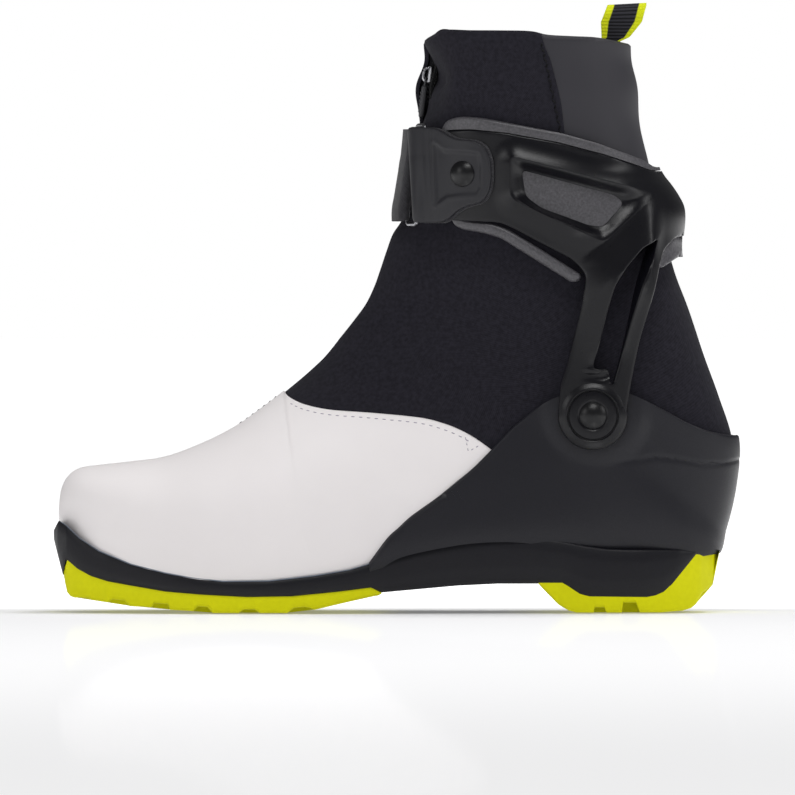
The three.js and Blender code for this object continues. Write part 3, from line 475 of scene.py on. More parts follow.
# Flat sections across the boot: front x, z, back x, z, half width, middle y, where along the line from
# front to back it is widest, and how square its front and back halves are
LAST = np.array([
    [-142.3, 38.5, -142.3, 38.5, 0, 4, .5, 2, 2], [-142.2, 44, -141, 35, 11, 4, .55, 2.2, 3],
    [-141.3, 51, -139, 32.5, 17, 4, .55, 2.3, 4.5], [-138.7, 56.4, -136.5, 29.5, 22, 4, .55, 2.3, 6],
    [-133.6, 60, -132, 25, 28, 3.8, .55, 2.3, 7.5], [-125, 61.3, -125, 20.8, 34.2, 3.4, .56, 2.3, 8],
    [-112, 62.8, -112, 15.5, 40.5, 2.6, .58, 2.25, 8.5], [-98, 64.8, -98, 12, 45, 1.6, .6, 2.2, 8.5],
    [-83, 70.2, -82, 9.7, 48.8, .6, .62, 2.15, 8.5], [-68.4, 77.5, -65, 9.1, 49.6, 0, .64, 2.1, 8.5],
    [-55.8, 86.3, -46, 9.8, 48.6, -.9, .66, 2, 8], [-45, 94.8, -22, 13, 45.8, -1.6, .68, 1.9, 7],
    [-36.8, 101.9, 5, 19, 42.6, -2, .69, 1.85, 6], [-30.5, 108.2, 35, 23, 39.8, -2, .68, 1.85, 5.4],
    [-24.2, 116.2, 70, 22.5, 37.4, -1.6, .66, 1.85, 4.6], [-18.5, 123.5, 105, 20.8, 35.8, -1, .63, 1.9, 3.9],
    [-14, 129.8, 130.4, 22.6, 35, -.5, .6, 1.9, 3.3], [-10.5, 137, 136.2, 36, 34.6, 0, .58, 1.95, 2.8],
    [-7.8, 144.5, 140.3, 54, 34.5, 0, .56, 2, 2.6], [-5.3, 151.9, 141.3, 72, 34.8, 0, .54, 2, 2.5],
    [-2.6, 159, 135.5, 91, 35.6, 0, .53, 2.05, 2.45], [1.9, 166, 129.5, 107.5, 36.8, 0, .52, 2.1, 2.4],
    [3.9, 174, 123, 127, 38, 0, .51, 2.15, 2.4], [5.4, 182, 117, 143, 39.2, 0, .5, 2.2, 2.4],
    [7.2, 191, 112, 162, 40.2, 0, .5, 2.2, 2.4], [9.4, 201, 107, 183, 41, 0, .5, 2.2, 2.4],
    [9.4, 211, 103.2, 203, 41.6, 0, .5, 2.2, 2.4], [9.2, 221, 101.5, 219, 42, 0, .5, 2.2, 2.4],
    [11.5, 231, 98.9, 230.5, 42, 0, .5, 2.2, 2.4], [11, 240, 98.9, 239.5, 42, 0, .5, 2.2, 2.4],
    [11.5, 256, 98.9, 256, 42, 0, .5, 2.2, 2.4],
])
ZIP_START = 11


def last(s, angle, depth=0.0):
    """A point on the last: s runs from the toe to the collar by section, and angle goes round the
    section from its front (0) over the inner side to its back (pi). Each half of a section is a
    superellipse, and depth moves its front, back and sides inwards."""
    s, angle, depth = np.broadcast_arrays(*(np.asarray(v, float) for v in (s, angle, depth)))
    row = through(LAST, s)
    slope = through(LAST, s + 0.25) - through(LAST, s - 0.25)
    front, back = (row[..., k:k + 2] + turn * depth[..., None] * np.stack([slope[..., k + 1], -slope[..., k]], -1)
                   / np.maximum(np.linalg.norm(slope[..., k:k + 2], axis=-1), 1e-6)[..., None]
                   for k, turn in ((0, 1), (2, -1)))
    half = np.maximum(row[..., 4] - depth, 0.02)
    split = row[..., 6]
    cos, sin = np.cos(angle), np.sin(angle)
    power = np.where(cos >= 0, row[..., 7], row[..., 8])
    reach = np.abs(cos) ** (2 / power)
    along = np.where(cos >= 0, split * (1 - reach), split + (1 - split) * reach)
    place = front + (back - front) * along[..., None]
    y = row[..., 5] + np.sign(sin) * half * np.abs(sin) ** (2 / power)
    return np.stack([place[..., 0], y, place[..., 1]], -1)


def on_last(points):
    """Where side-view points (x, z) lie on the last, as rows of (s, angle). The section is found by
    halving, as a point is on one side of every section before its own."""
    points = np.asarray(points, float)
    low, high = np.zeros(len(points)), np.full(len(points), len(LAST) - 1.0)
    for _ in range(40):
        middle = (low + high) / 2
        row = through(LAST, middle)
        run, gap = row[:, 2:4] - row[:, :2], points - row[:, :2]
        beyond = run[:, 0] * gap[:, 1] - run[:, 1] * gap[:, 0] > 0
        low, high = np.where(beyond, middle, low), np.where(beyond, high, middle)
    row = through(LAST, low)
    run = row[:, 2:4] - row[:, :2]
    along = np.einsum("ij,ij->i", points - row[:, :2], run) / np.maximum(np.einsum("ij,ij->i", run, run), 1e-6)
    along, split = np.clip(along, 0, 1), row[:, 6]
    front = np.arccos(np.clip((1 - along / split), 0, 1) ** (row[:, 7] / 2))
    back = math.pi - np.arccos(np.clip((along - split) / (1 - split), 0, 1) ** (row[:, 8] / 2))
    return np.stack([low, np.where(along < split, front, back)], 1)


def trace(points, count=None, step=None, smooth=True):
    """A side-view outline, evenly spaced, as rows of (s, angle) on the last."""
    return on_last(spaced(points, count=count, step=step, smooth=smooth))


def slot_angle(s, half):
    """The angle at which a section is a half width of the zip's slot away from its middle."""
    row = through(LAST, s)
    return np.arcsin(np.clip((half / np.maximum(row[..., 4], 1)) ** (row[..., 7] / 2), 0, 1))


def ruled(first, second, share):
    """A grid of (s, angle) between two edges with as many rows, at each share of the way."""
    return first[:, None, :] + (second - first)[:, None, :] * share[None, :, None]


def edge_shares(count, edge=0.012):
    """Shares from 0 to 1 with a few close to both ends, for rolled edges."""
    close = np.array([0, 0.12, 0.35, 0.7, 1.2]) * edge
    return np.r_[close, np.linspace(1.8 * edge, 1 - 1.8 * edge, count), 1 - close[::-1]]


def rolled(grid, depth, radius, sides=("start", "end")):
    """The depth of each point of a grid of (s, angle), lowered by a quarter round at the chosen
    first and last columns."""
    flat = last(grid[..., 0], grid[..., 1])
    step = np.linalg.norm(np.diff(flat, axis=1), axis=2)
    start = np.concatenate([np.zeros((len(grid), 1)), np.cumsum(step, axis=1)], axis=1)
    end = start[:, -1:] - start
    drop = np.zeros(start.shape)
    if "start" in sides:
        drop = np.maximum(drop, roll(start, radius))
    if "end" in sides:
        drop = np.maximum(drop, roll(end, radius))
    return depth + drop


def both_sides(name, grid, outer_depth, inner_depth, slot, change=None, sharp=38):
    """A wall on the last over a grid of (s, angle) and its mirror image on the other side."""
    halves = []
    for side in (MEDIAL, LATERAL):
        skins = [last(grid[..., 0], side * grid[..., 1], d) for d in (outer_depth, inner_depth)]
        halves.append([change(skin, side) for skin in skins] if change else skins)
    return wall(name, halves[0][0], halves[0][1], slot, sharp, halves[1])


def level_trace(z, x_from, x_to, count=120):
    """A level line in the side view as the section at each angle, for use as an edge."""
    line = on_last(np.stack([np.linspace(x_from, x_to, count), np.full(count, float(z))], 1))
    return lambda angle: np.interp(angle, line[:, 1], line[:, 0])


COLLAR_TOP = [[11, 240], [14.1, 242], [19.2, 244.5], [30.5, 244.3], [44, 244.2], [55.8, 243.9], [63.3, 242.4],
              [74, 241.8], [85.2, 241.2], [98.7, 238.7]]
CAP_EDGE = [[-47.4, 91.9], [-44.8, 89.9], [-38.8, 87.3], [-28.5, 85.2], [-11.3, 83.9], [9.3, 81.8], [19.6, 79.2],
            [26.5, 76.4], [32.5, 73], [39.2, 68.2]]
COUNTER_FRONT = [[-12.2, 21.2], [-4.4, 31.6], [.6, 36.2], [5.9, 41], [16.2, 48.3], [24.7, 55.1], [31.7, 60.8],
                 [39.2, 68]]
COUNTER_TOP = [[51.6, 80.4], [63.3, 88.8], [72, 91.8], [80, 92.8], [88, 93], [97, 91.6], [111.5, 84.4],
               [119, 80.2], [127.3, 76.6], [133.5, 74.9], [141.9, 73.4]]
PLATE_EDGE = [[-142.3, 38.5], [-138.9, 36.3], [-133.6, 31.3], [-125.3, 25.9], [-111.8, 20.4], [-97.3, 16.8],
              [-87.7, 15.1], [-73.2, 13.4], [-53.8, 13.6], [-34.5, 15.8], [-20, 18.2], [-13, 20.3], [-1.1, 25.1],
              [11, 28.5], [28.2, 31.5], [41.9, 32.4], [54, 32], [69.2, 30], [78.1, 28.2], [86.9, 26.9],
              [95.8, 26.5], [135.7, 26.4]]
REAR_SEAM = [[60.5, 247], [61.8, 241.4], [63.9, 232.3], [66.1, 222], [68.4, 210.6], [70.2, 201.9], [72, 190],
             [74, 172], [76, 160]]
CREASE = [[78, 67], [90.5, 63.8], [108.4, 66], [117.6, 64.6], [126.3, 63], [135.6, 63.1], [144.2, 64.9]]
PIVOT = np.array(JOINTS["cuff_flex"]["pos_m"])[[0, 2]] / MM


def ankle_folds(points, side):
    """Faint slanted folds in the stretch fabric above the instep, where the ankle bends."""
    x, y, z = points[..., 0], points[..., 1], points[..., 2]
    across = (z - 128) * 0.9 - (x - 5) * 0.35
    near = np.exp(-((x - 2) / 30) ** 2 - ((z - 128) / 26) ** 2) * soft_step(np.abs(y), 6, 20)
    lift = 0.55 * near * np.sin(across * 0.42 + 0.6 * side) + 0.3 * near * np.sin(across * 0.81 + x * 0.09)
    return points + np.stack([0 * x, np.sign(y) * lift, 0.3 * lift], -1)


def build_softshell():
    """The stretch fabric from under the toe cap to the strap, open along the zip."""
    top = level_trace(184, 6, 116)
    share = edge_shares(96, 0.008)
    rows = np.linspace(0, 1, 190)
    guess = 5.6 + rows * 17
    left = slot_angle(guess, np.interp(guess, [ZIP_START, 12.5, 24], [0, 1.5, 2.2]))
    angle = left[:, None] + (math.pi - left)[:, None] * share[None, :]
    s = 5.6 + (top(angle) - 5.6) * rows[:, None]
    grid = np.stack([s, angle], -1)
    sunk = 0.45 + 1.3 * soft_step(last(s, angle)[..., 2], 166, 176)
    open_zip = soft_step(s[:, 0], ZIP_START + 0.2, ZIP_START + 1)[:, None]
    depth = sunk + rolled(grid, 0, 1.0, ("start",)) * open_zip
    piece = both_sides("softshell_upper", grid, depth, sunk + 1.6, "softshell", ankle_folds)
    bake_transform(piece)
    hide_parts("softshell_foot", "softshell_ankle")


def collar_front_folds(points, side):
    """The collar's front corners: the near flap is drawn in and rolls outwards at its top, with a
    ridge behind the dent, and the far flap bulges forwards."""
    x, y, z = points[..., 0], points[..., 1], points[..., 2]
    front = np.exp(-((x - 11) / 7.5) ** 2)
    if side == LATERAL:
        dent = front * np.interp(z, [202, 206, 210, 216, 219.7, 222.5, 226, 230, 236, 241],
                                 [0, 1.4, 3.2, 4.6, 5.8, 7.4, 6.6, 4.4, 1.4, 0])
        corner = -1.2 * soft_step(z, 236, 242) * front
        ridge = -1.1 * np.exp(-((x - 23.4) / 3.4) ** 2 - ((z - 223) / 9) ** 2)
        return points + np.stack([dent + corner, ridge + dent * 0.15, 0 * x], -1)
    bulge = -1.6 * np.exp(-((z - 219) / 9) ** 2) * front
    curl = 0.9 * np.exp(-((x - 18) / 4) ** 2) * soft_step(z, 236, 243)
    return points + np.stack([bulge, 0 * x, curl], -1)


def build_collar():
    """The collar: a front panel on each side, the smooth rear panel under their edges, and seams."""
    top = trace(COLLAR_TOP, 120)
    collar_top = (lambda angle: np.interp(angle, top[:, 1], top[:, 0]))
    seam = trace(REAR_SEAM[::-1], 60)
    front_low, low = level_trace(168, 3, 100), level_trace(168, 3, 122)
    rows = np.linspace(0, 1, 60)
    s_front = front_low(0.1) + (top[0, 0] - front_low(0.1)) * rows
    left = slot_angle(s_front, np.interp(s_front, [21, 25, 27, 29.2], [2.2, 2.6, 3.4, 3.0]))
    angle = left[:, None] + (seam[:, 1] - left)[:, None] * edge_shares(80)[None, :]
    s = low(angle) + (collar_top(angle) - low(angle)) * rows[:, None]
    grid = np.stack([s, angle], -1)
    depth = rolled(grid, -0.15, 0.9)
    depth += roll((1 - rows) * 72, 1.2)[:, None]
    piece = both_sides("softshell_collar_front", grid, depth, 1.5 + 0 * depth, "softshell", collar_front_folds)
    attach(piece, "cuff")
    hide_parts("softshell_collar")

    left = seam[:, 1] - 0.07
    angle = left[:, None] + (math.pi - left)[:, None] * np.linspace(0, 1, 60)[None, :]
    panel_low = level_trace(163, 60, 122)
    s = panel_low(angle) + (collar_top(angle) - panel_low(angle)) * rows[:, None]
    depth = 0.55 + roll((1 - rows) * 74, 1.0)[:, None] + 0 * s
    wave = 0.45 * np.sin(last(s, angle)[..., 2] * 0.16) * soft_step(angle, 2.2, 2.9)
    panel = both_sides("rear_panel", np.stack([s, angle], -1), depth + wave, 2.0 + 0 * s, "coated_panel")
    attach(panel, "cuff")
    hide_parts("rear_collar_panel")
    stitch("rear_seam_stitches", seam[6:56] - np.array([0, 0.042]), -0.55, 2.2, 0.4, "cuff", "dark", slant=0.45)


def stitch(name, line, depth, pitch, radius, body, thread, slant=0.0):
    """Stitches along a line of (s, angle) on both sides: a thread segment every pitch, which dips into
    the cloth at its ends."""
    pieces = []
    for side in (MEDIAL, LATERAL):
        path = last(line[:, 0], side * line[:, 1], depth)
        below = last(line[:, 0], side * line[:, 1], depth + 0.6)
        length = run_lengths(path)
        for k, start in enumerate(np.arange(0.4, length[-1] - pitch, pitch)):
            along = np.linspace(start, start + pitch * 0.68, 5)
            sink = np.array([1, 0.25, 0, 0.25, 1])[:, None]
            place, deep = places(path, length, along), places(below, length, along)
            sideways = np.cross(place[-1] - place[0], place[2] - deep[2])
            sideways /= np.linalg.norm(sideways)
            shift = (slant * (1 if k % 2 else -1)) * np.linspace(-1, 1, 5)[:, None] * sideways
            pieces.append(little_tube(place + (deep - place) * sink + shift, radius))
    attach(many(name, pieces, material=THREADS[thread]), body)


def little_tube(path, radius, segments=6):
    """Rings of a thin tube along a short path, thinner at its ends."""
    run = np.gradient(path, axis=0)
    angle = np.linspace(0, 2 * math.pi, segments, endpoint=False)
    sizes = np.interp(np.linspace(0, 1, len(path)), [0, .2, .8, 1], [.6, 1, 1, .6])
    rings = []
    for point, direction, size in zip(path, run, sizes):
        _, side, other = around(direction)
        rings.append(point + radius * size * (np.cos(angle)[:, None] * side + np.sin(angle)[:, None] * other))
    return np.array(rings)


def build_toe_cap():
    """The white toe cap: from the toe's middle line and its curved top edge down to the sole plate."""
    top = np.concatenate([np.stack([np.linspace(0, on_last([CAP_EDGE[0]])[0, 0], 90), np.zeros(90)], 1),
                          trace(CAP_EDGE + [[44.5, 63.5]], 90)[1:]])
    low = [[x, z - 3.5] for x, z in PLATE_EDGE[1:12]] + [[-4, 22], [4, 29], [16, 38], [28, 47], [44.3, 62.8]]
    bottom = np.concatenate([[[0, math.pi * 0.98]], trace(low, len(top) - 1)])
    grid = ruled(top, bottom, edge_shares(70, 0.01))
    edge = soft_step(np.arange(len(top)), 88, 92)[:, None]
    depth = -0.35 + rolled(grid, 0, 0.8, ("start",)) * edge
    piece = both_sides("toe_cap_leather", grid, depth, 1.1 + 0 * depth, "toe_leather")
    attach(piece, "boot")
    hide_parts("toe_cap", "lasting_board")
    line = [[x - 0.4, z - 2.3] for x, z in CAP_EDGE[1:-1]]
    stitch("cap_edge_stitches", trace(line, 120), -0.38, 3.3, 0.23, "boot", "pale")
    middle = np.stack([np.linspace(*on_last([[-67, 78.5], [-49.5, 91.2]])[:, 0], 60), np.zeros(60)], 1)
    stitch("cap_middle_stitches", middle, -0.4, 3.0, 0.3, "boot", "dark")
    bead("cap_edge_bead", last(*trace(CAP_EDGE, 160).T, -0.2), 0.24, "cream")
    tack = [[28.5, 74.2], [29.8, 67.6], [35.8, 71]]
    stitch("cap_corner_stitches", trace(tack, 16, smooth=False), -0.38, 2.4, 0.22, "boot", "pale")


def bead(name, path, radius, colour):
    """A fine cord along a path on the inner side of the boot, and its mirror image."""
    pieces = [little_tube(path * [1, side, 1], radius) for side in (MEDIAL, LATERAL)]
    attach(many(name, pieces, material=THREADS[colour]), "boot")


def boss(points, side):
    """The pivot boss: the counter's side rises to a flat disc about the pivot, with a soft shoulder,
    joined to the counter by a smooth maximum."""
    disc_radius, disc_y, reach, sharpness = 14.5, 38.6, 34, 2.2
    radius = np.hypot(points[..., 0] - PIVOT[0], points[..., 2] - PIVOT[1])
    high = disc_y - 0.022 * np.maximum(radius - disc_radius, 0) ** 2.2
    y = np.abs(points[..., 1])
    blended = np.logaddexp(y * sharpness, high * sharpness) / sharpness
    y = np.where((radius < reach) & (y > 24), np.maximum(blended, y), y)
    return np.stack([points[..., 0], side * y, points[..., 2]], -1)


def build_counter():
    """The moulded heel counter, from its front edge beside the toe cap round the heel."""
    top = trace(COUNTER_FRONT + COUNTER_TOP, 230)
    low = [[-12.2, 17.4]] + [[x, z - 0.6] for x, z in PLATE_EDGE[12:-1]] + [[118, 23.6], [127, 25.6], [135.4, 26]]
    bottom = trace(low, len(top))
    bead("counter_groove", last(*trace([[x, z + 0.2] for x, z in PLATE_EDGE[12:-1]], 160).T, 0.15), 0.36, "dark")
    # A light cord along the counter's front edge is a painted highlight, for the light that its crisp edge catches.
    bead("counter_edge_highlight", last(*trace(COUNTER_FRONT, 120).T, 0.05), 0.17, "edge")
    top[-1, 1] = bottom[-1, 1] = math.pi
    grid = ruled(top, bottom, edge_shares(90, 0.009))
    flat = last(grid[..., 0], grid[..., 1])
    side_view = flat[..., [0, 2]].reshape(-1, 2)
    below = side_view[:, 1] < np.interp(side_view[:, 0], [p[0] for p in CREASE], [p[1] for p in CREASE])
    fold = distance_to(side_view, CREASE).reshape(flat.shape[:2])
    step = np.where(below.reshape(fold.shape), roll(fold, 3.0) * 0.22, roll(fold, 1.2) * 0.35)
    step = step * soft_step(flat[..., 0], 84, 96)
    depth = rolled(grid, -2.6, 1.1, ("start",)) + step
    piece = both_sides("heel_counter_shell", grid, depth, -0.3 + 0 * depth, "counter_plastic", boss)
    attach(piece, "boot")
    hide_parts("heel_counter")


# ---------------------------------------------------------------- sole

# Half widths of the sole along its length: outer side and inner side
SOLE_PLAN = np.array([
    [-144.5, 9, 14], [-143.2, 16, 21.5], [-139, 23.2, 28.6], [-132, 28.8, 34], [-122, 34.2, 39.6], [-108, 40, 44.4],
    [-92, 45.6, 47.8], [-76, 48.8, 49.3], [-60, 49.6, 48.8], [-44, 49.2, 46.6], [-24, 47, 42.6], [0, 44.6, 39],
    [28, 41.8, 36.6], [56, 39.8, 36.8], [84, 38.4, 37.6], [104, 36.2, 36], [118, 31.6, 31.6], [127, 25.6, 25.6],
    [133, 17.5, 17.5], [135.7, 10, 10]])
FRONT_TREAD_TOP = [
    [-140.3, 16.4], [-138.6, 21.7], [-134.5, 18.2], [-128.7, 15.1], [-121.5, 12.9], [-111.8, 11.2], [-97.3, 8.8],
    [-82.8, 7.6], [-63.5, 6.6], [-44.2, 6.9], [-24.8, 8.8], [-11.3, 10.5], [-6.7, 8.1]]
FRONT_TREAD_BOTTOM = [
    [-140.3, 15.8], [-139.6, 12], [-138.8, 8.4], [-137.4, 6.7], [-135.7, 6.1], [-129.7, 6.1], [-128.7, 5.2],
    [-121.5, 4.2], [-119.5, 5.6], [-114.5, 5.1], [-112.3, 2.7], [-103.1, 2.3], [-102, 4], [-96.3, 3.7],
    [-95.4, 1.3], [-85.7, .8], [-83.5, 2.8], [-79.5, 2.5], [-77.5, 0], [-66.4, 0], [-64.5, 1.5], [-59.6, 1.5],
    [-57.7, 0], [-46.1, 0], [-43.5, 2.1], [-39, 2.6], [-36.4, 2.1], [-35, 1.3], [-18.1, 5.2], [-15.2, 6.1],
    [-8, 7.3], [-6.7, 8.1]]
HEEL_TREAD_TOP = [[58.9, 12.8], [69.2, 12.2], [71.6, 10.8], [76.4, 7.6], [80.5, 6.5], [104.7, 6.2], [108.3, 6.9],
                  [111.7, 8.4], [115.3, 11.7], [126.6, 25.5], [135.4, 25.8]]
HEEL_TREAD_BOTTOM = [
    [58.9, 12.4], [60.4, 10.6], [67.5, 3.4], [71.6, 1], [75.1, 0], [82.3, 0], [82.8, 2.2], [86.7, 2.2], [87.6, 0],
    [94.1, 0], [94.7, 4.2], [100, 4.2], [101.6, 0], [110.5, 0], [119.5, .7], [123, 1.6], [125.4, 3.4],
    [127.7, 7.6], [132.5, 11.4], [133, 17], [135.4, 25.8]]
PLATE_BOTTOM = [[-144.5, 30.3], [-142.7, 23.6], [-140.5, 15.3], [-139.3, 21.6]] + FRONT_TREAD_TOP[1:-1] + [
    [-6.4, 8.6], [25, 11.4], [42, 12.2], [58.4, 12.2]] + HEEL_TREAD_TOP[1:-1] + [[135.7, 26]]
BAR_AT = np.array([*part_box("binding_bar")[0]]) / MM + np.array([2.25, 0, 2.25])


def height_along(line, x):
    """The height of a side outline at x."""
    line = np.asarray(line)
    return np.interp(x, line[:, 0], line[:, 1])


def half_widths(x):
    """Half widths of the sole at x on a smooth curve, outer side first."""
    rows = np.interp(x, SOLE_PLAN[:, 0], np.arange(len(SOLE_PLAN)))
    widths = through(SOLE_PLAN, rows)
    return widths[:, 1], widths[:, 2]


def stations(line, start, end, step=0.8):
    """Places along the boot: evenly spaced, with one on each side of every corner of a line."""
    corners = np.array([p[0] for p in line])
    x = np.r_[np.arange(start, end, step), end, corners - 0.05, corners + 0.05]
    return np.unique(np.clip(x, start, end))


def lower_hull(line):
    """The corners of a side outline that a straight edge laid under it would touch."""
    hull = []
    for point in line:
        while len(hull) > 1 and ((hull[-1][0] - hull[-2][0]) * (point[1] - hull[-2][1])
                                 <= (hull[-1][1] - hull[-2][1]) * (point[0] - hull[-2][0])):
            hull.pop()
        hull.append(point)
    return hull


def across_ring(x, left, right, section):
    """One closed ring across the sole: section gives (distance in from the side, height) from the
    underside's middle out over the side to the top's middle."""
    lateral = [(-(left - inset), z) for inset, z in section(left)]
    medial = [(right - inset, z) for inset, z in section(right)][::-1]
    return [(x, y, z) for y, z in lateral + medial]


def build_sole_plate():
    """The moulded sole plate: a dish whose rounded side stands up round the upper."""
    edge = np.array([[-144.5, 34.2]] + PLATE_EDGE)
    rings = []
    for x in stations(PLATE_BOTTOM, -144.5, 135.7, 1.2):
        left, right = (float(w[0]) for w in half_widths(np.array([x])))
        low, high = float(height_along(PLATE_BOTTOM, x)), float(height_along(edge, x))
        rise = max(high - low, 0.2)
        lip = min(0.9, rise * 0.3)

        def section(half):
            return [(half, low), (half * 0.4, low), (1.6, low), (0.6, low + lip * 0.3), (0.1, low + lip),
                    (-0.25, low + rise * 0.4), (-0.3, low + rise * 0.7), (-0.05, high - lip),
                    (0.35, high - lip * 0.3), (1.0, high), (3.2, high - 0.5), (half * 0.4, high - 1),
                    (half, high - 1)]
        rings.append(across_ring(x, left, right, section))
    # A light blue-grey cord along the plate's top lip on each side is a painted highlight, standing in for light
    # caught by the lip.
    x = np.linspace(-141.5, -10, 220)
    outer, inner = half_widths(x)
    for width, side in ((outer, LATERAL), (inner, MEDIAL)):
        path = np.stack([x, side * (width - 0.25), height_along(PLATE_EDGE, x) - 0.05], 1)
        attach(many(f"plate_edge_highlight_{side}", [little_tube(path, 0.24)], material=THREADS["edge"]), "boot")
    piece = loft("sole_plate_shell", rings, "sole_plastic", sharp=50)
    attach(piece, "boot")
    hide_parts("sole_plate")


def build_treads():
    """The two rubber treads: lugs across the sole, with guide grooves and the bar's recess in front."""
    recess = (BAR_AT[0] - 4.6, BAR_AT[0] + 9.4, 16.0, BAR_AT[2] + 4.2)
    plans = {
        "front_tread": (FRONT_TREAD_TOP, FRONT_TREAD_BOTTOM, -140.3, -6.7, 1.0, "front_outsole"),
        "heel_tread": (HEEL_TREAD_TOP, HEEL_TREAD_BOTTOM, 58.9, 135.4, 0.5, "heel_outsole"),
    }
    for name, (top, bottom, start, end, inset, node) in plans.items():
        corners = bottom + top + [[recess[0], 0], [recess[1], 0], [-116, 0]]
        rings = []
        for x in stations(corners, start, end, 1.0):
            left, right = (float(w[0]) - inset for w in half_widths(np.array([x])))
            low, high = float(height_along(bottom, x)), float(height_along(top, x)) + 0.35
            high = max(high, low + 0.1)
            floor = min(low, float(height_along(lower_hull(bottom), x)))
            in_recess = name == "front_tread" and recess[0] < x < recess[1]
            grooved = name == "front_tread" and x > -116

            def section(half):
                depth = max(floor, min(recess[3], high - 0.2)) if in_recess else floor
                groove = max(floor, min(4.0, high - 0.2)) if grooved else depth
                groove_side = groove if grooved else floor
                levels = [(0.0, depth), (9.3, depth), (9.5, groove), (15.9, groove), (16.1, groove_side),
                          (16.5, groove_side), (16.7, floor), (max(half - 9, 16.9), floor),
                          (max(half - 7.5, 17.1), low)]
                chamfer = min(1.3, (high - low) * 0.4)
                return ([(half - y, z) for y, z in levels]
                        + [(1.5, low), (0.75, low + chamfer * 0.15), (0.3, low + chamfer * 0.5), (0, low + chamfer),
                           (0, high), (half, high)])
            rings.append(across_ring(x, left, right, section))
        piece = loft(name, rings, "sole_rubber", sharp=30)
        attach(piece, "boot")
        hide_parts(node)


def build_bar():
    """The steel binding bar, with rounded ends."""
    low, high = (np.array([*corner]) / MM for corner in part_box("binding_bar"))
    radius = (high[2] - low[2]) / 2
    length = high[1] - low[1]
    centre = ((low[0] + high[0]) / 2, low[1], (low[2] + high[2]) / 2)
    profile = [(radius * 0.8, 0), (radius * 0.95, 0.15), (radius, 0.5), (radius, length / 2), (radius, length - 0.5),
               (radius * 0.95, length - 0.15), (radius * 0.8, length)]
    piece = turned("steel_bar", centre, (0, 1, 0), profile, "steel", 40)
    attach(piece, "boot")
    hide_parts("binding_bar")


# ---------------------------------------------------------------- cuff

# Level outlines of the cuff frame's outer face: height, middle x, front x, rear x, half width, power
CUFF_LEVELS = np.array([
    [60, 82, 20, 144, 42.6, 3], [100, 82, 20, 144, 42.6, 3], [118, 81, 14, 138, 43, 2.9],
    [132, 78, 8, 129, 43.8, 2.7], [145, 74, 3, 121.5, 45, 2.5], [152, 71, 2, 120.4, 45.8, 2.4],
    [158, 68, 1.5, 120.5, 46, 2.4], [163, 66, 1, 121.1, 46, 2.4], [169, 64, .8, 121.2, 46, 2.4],
    [174, 62, 1.8, 119.2, 46, 2.4], [180, 61, 2.8, 115, 46, 2.4], [185, 60, 3.6, 111, 46, 2.4],
    [192, 60, 4.6, 109.8, 46, 2.4], [208, 60, 6.4, 108.8, 46, 2.4]])
# Mean radius that turns angles round the cuff into lengths
WRAP = 46.0


OUTLINE_STEP = 0.9


def cuff_level(z):
    """The cuff's level outline at a height, on a smooth curve through the listed ones."""
    rows = np.interp(z, CUFF_LEVELS[:, 0], np.arange(len(CUFF_LEVELS)))
    level = through(CUFF_LEVELS, rows)
    near = 0.25 * through(CUFF_LEVELS, rows - 0.6) + 0.5 * level + 0.25 * through(CUFF_LEVELS, rows + 0.6)
    return np.concatenate([np.asarray(z, float)[..., None], near[..., 1:]], -1)


def cuff(angle, z, rise=0.0):
    """A point on the cuff's outer face, angle round from the front (0) over the inner side to the
    rear (pi). Levels are superellipses, and rise moves their front, rear and sides outwards."""
    angle, z, rise = np.broadcast_arrays(*(np.asarray(v, float) for v in (angle, z, rise)))
    level = cuff_level(z)
    middle, front, rear, half, power = (level[..., k] for k in range(1, 6))
    cos, sin = np.cos(angle), np.sin(angle)
    reach = np.where(cos > 0, middle - front, rear - middle) + rise
    x = middle - np.sign(cos) * reach * np.abs(cos) ** (2 / power)
    y = np.sign(sin) * (half + rise) * np.abs(sin) ** (2 / power)
    return np.stack([x, y, z], -1)


def on_cuff(points):
    """Side-view points (x, z) as (arc, z) on the cuff, where arc is the angle times a mean radius."""
    points = np.asarray(points, float)
    level = cuff_level(points[:, 1])
    ahead = points[:, 0] < level[:, 1]
    reach = np.where(ahead, level[:, 1] - level[:, 2], level[:, 3] - level[:, 1])
    share = np.clip(np.abs(points[:, 0] - level[:, 1]) / reach, 0, 1) ** (level[:, 5] / 2)
    angle = np.where(ahead, np.arccos(share), math.pi - np.arccos(share))
    return np.stack([angle * WRAP, points[:, 1]], 1)


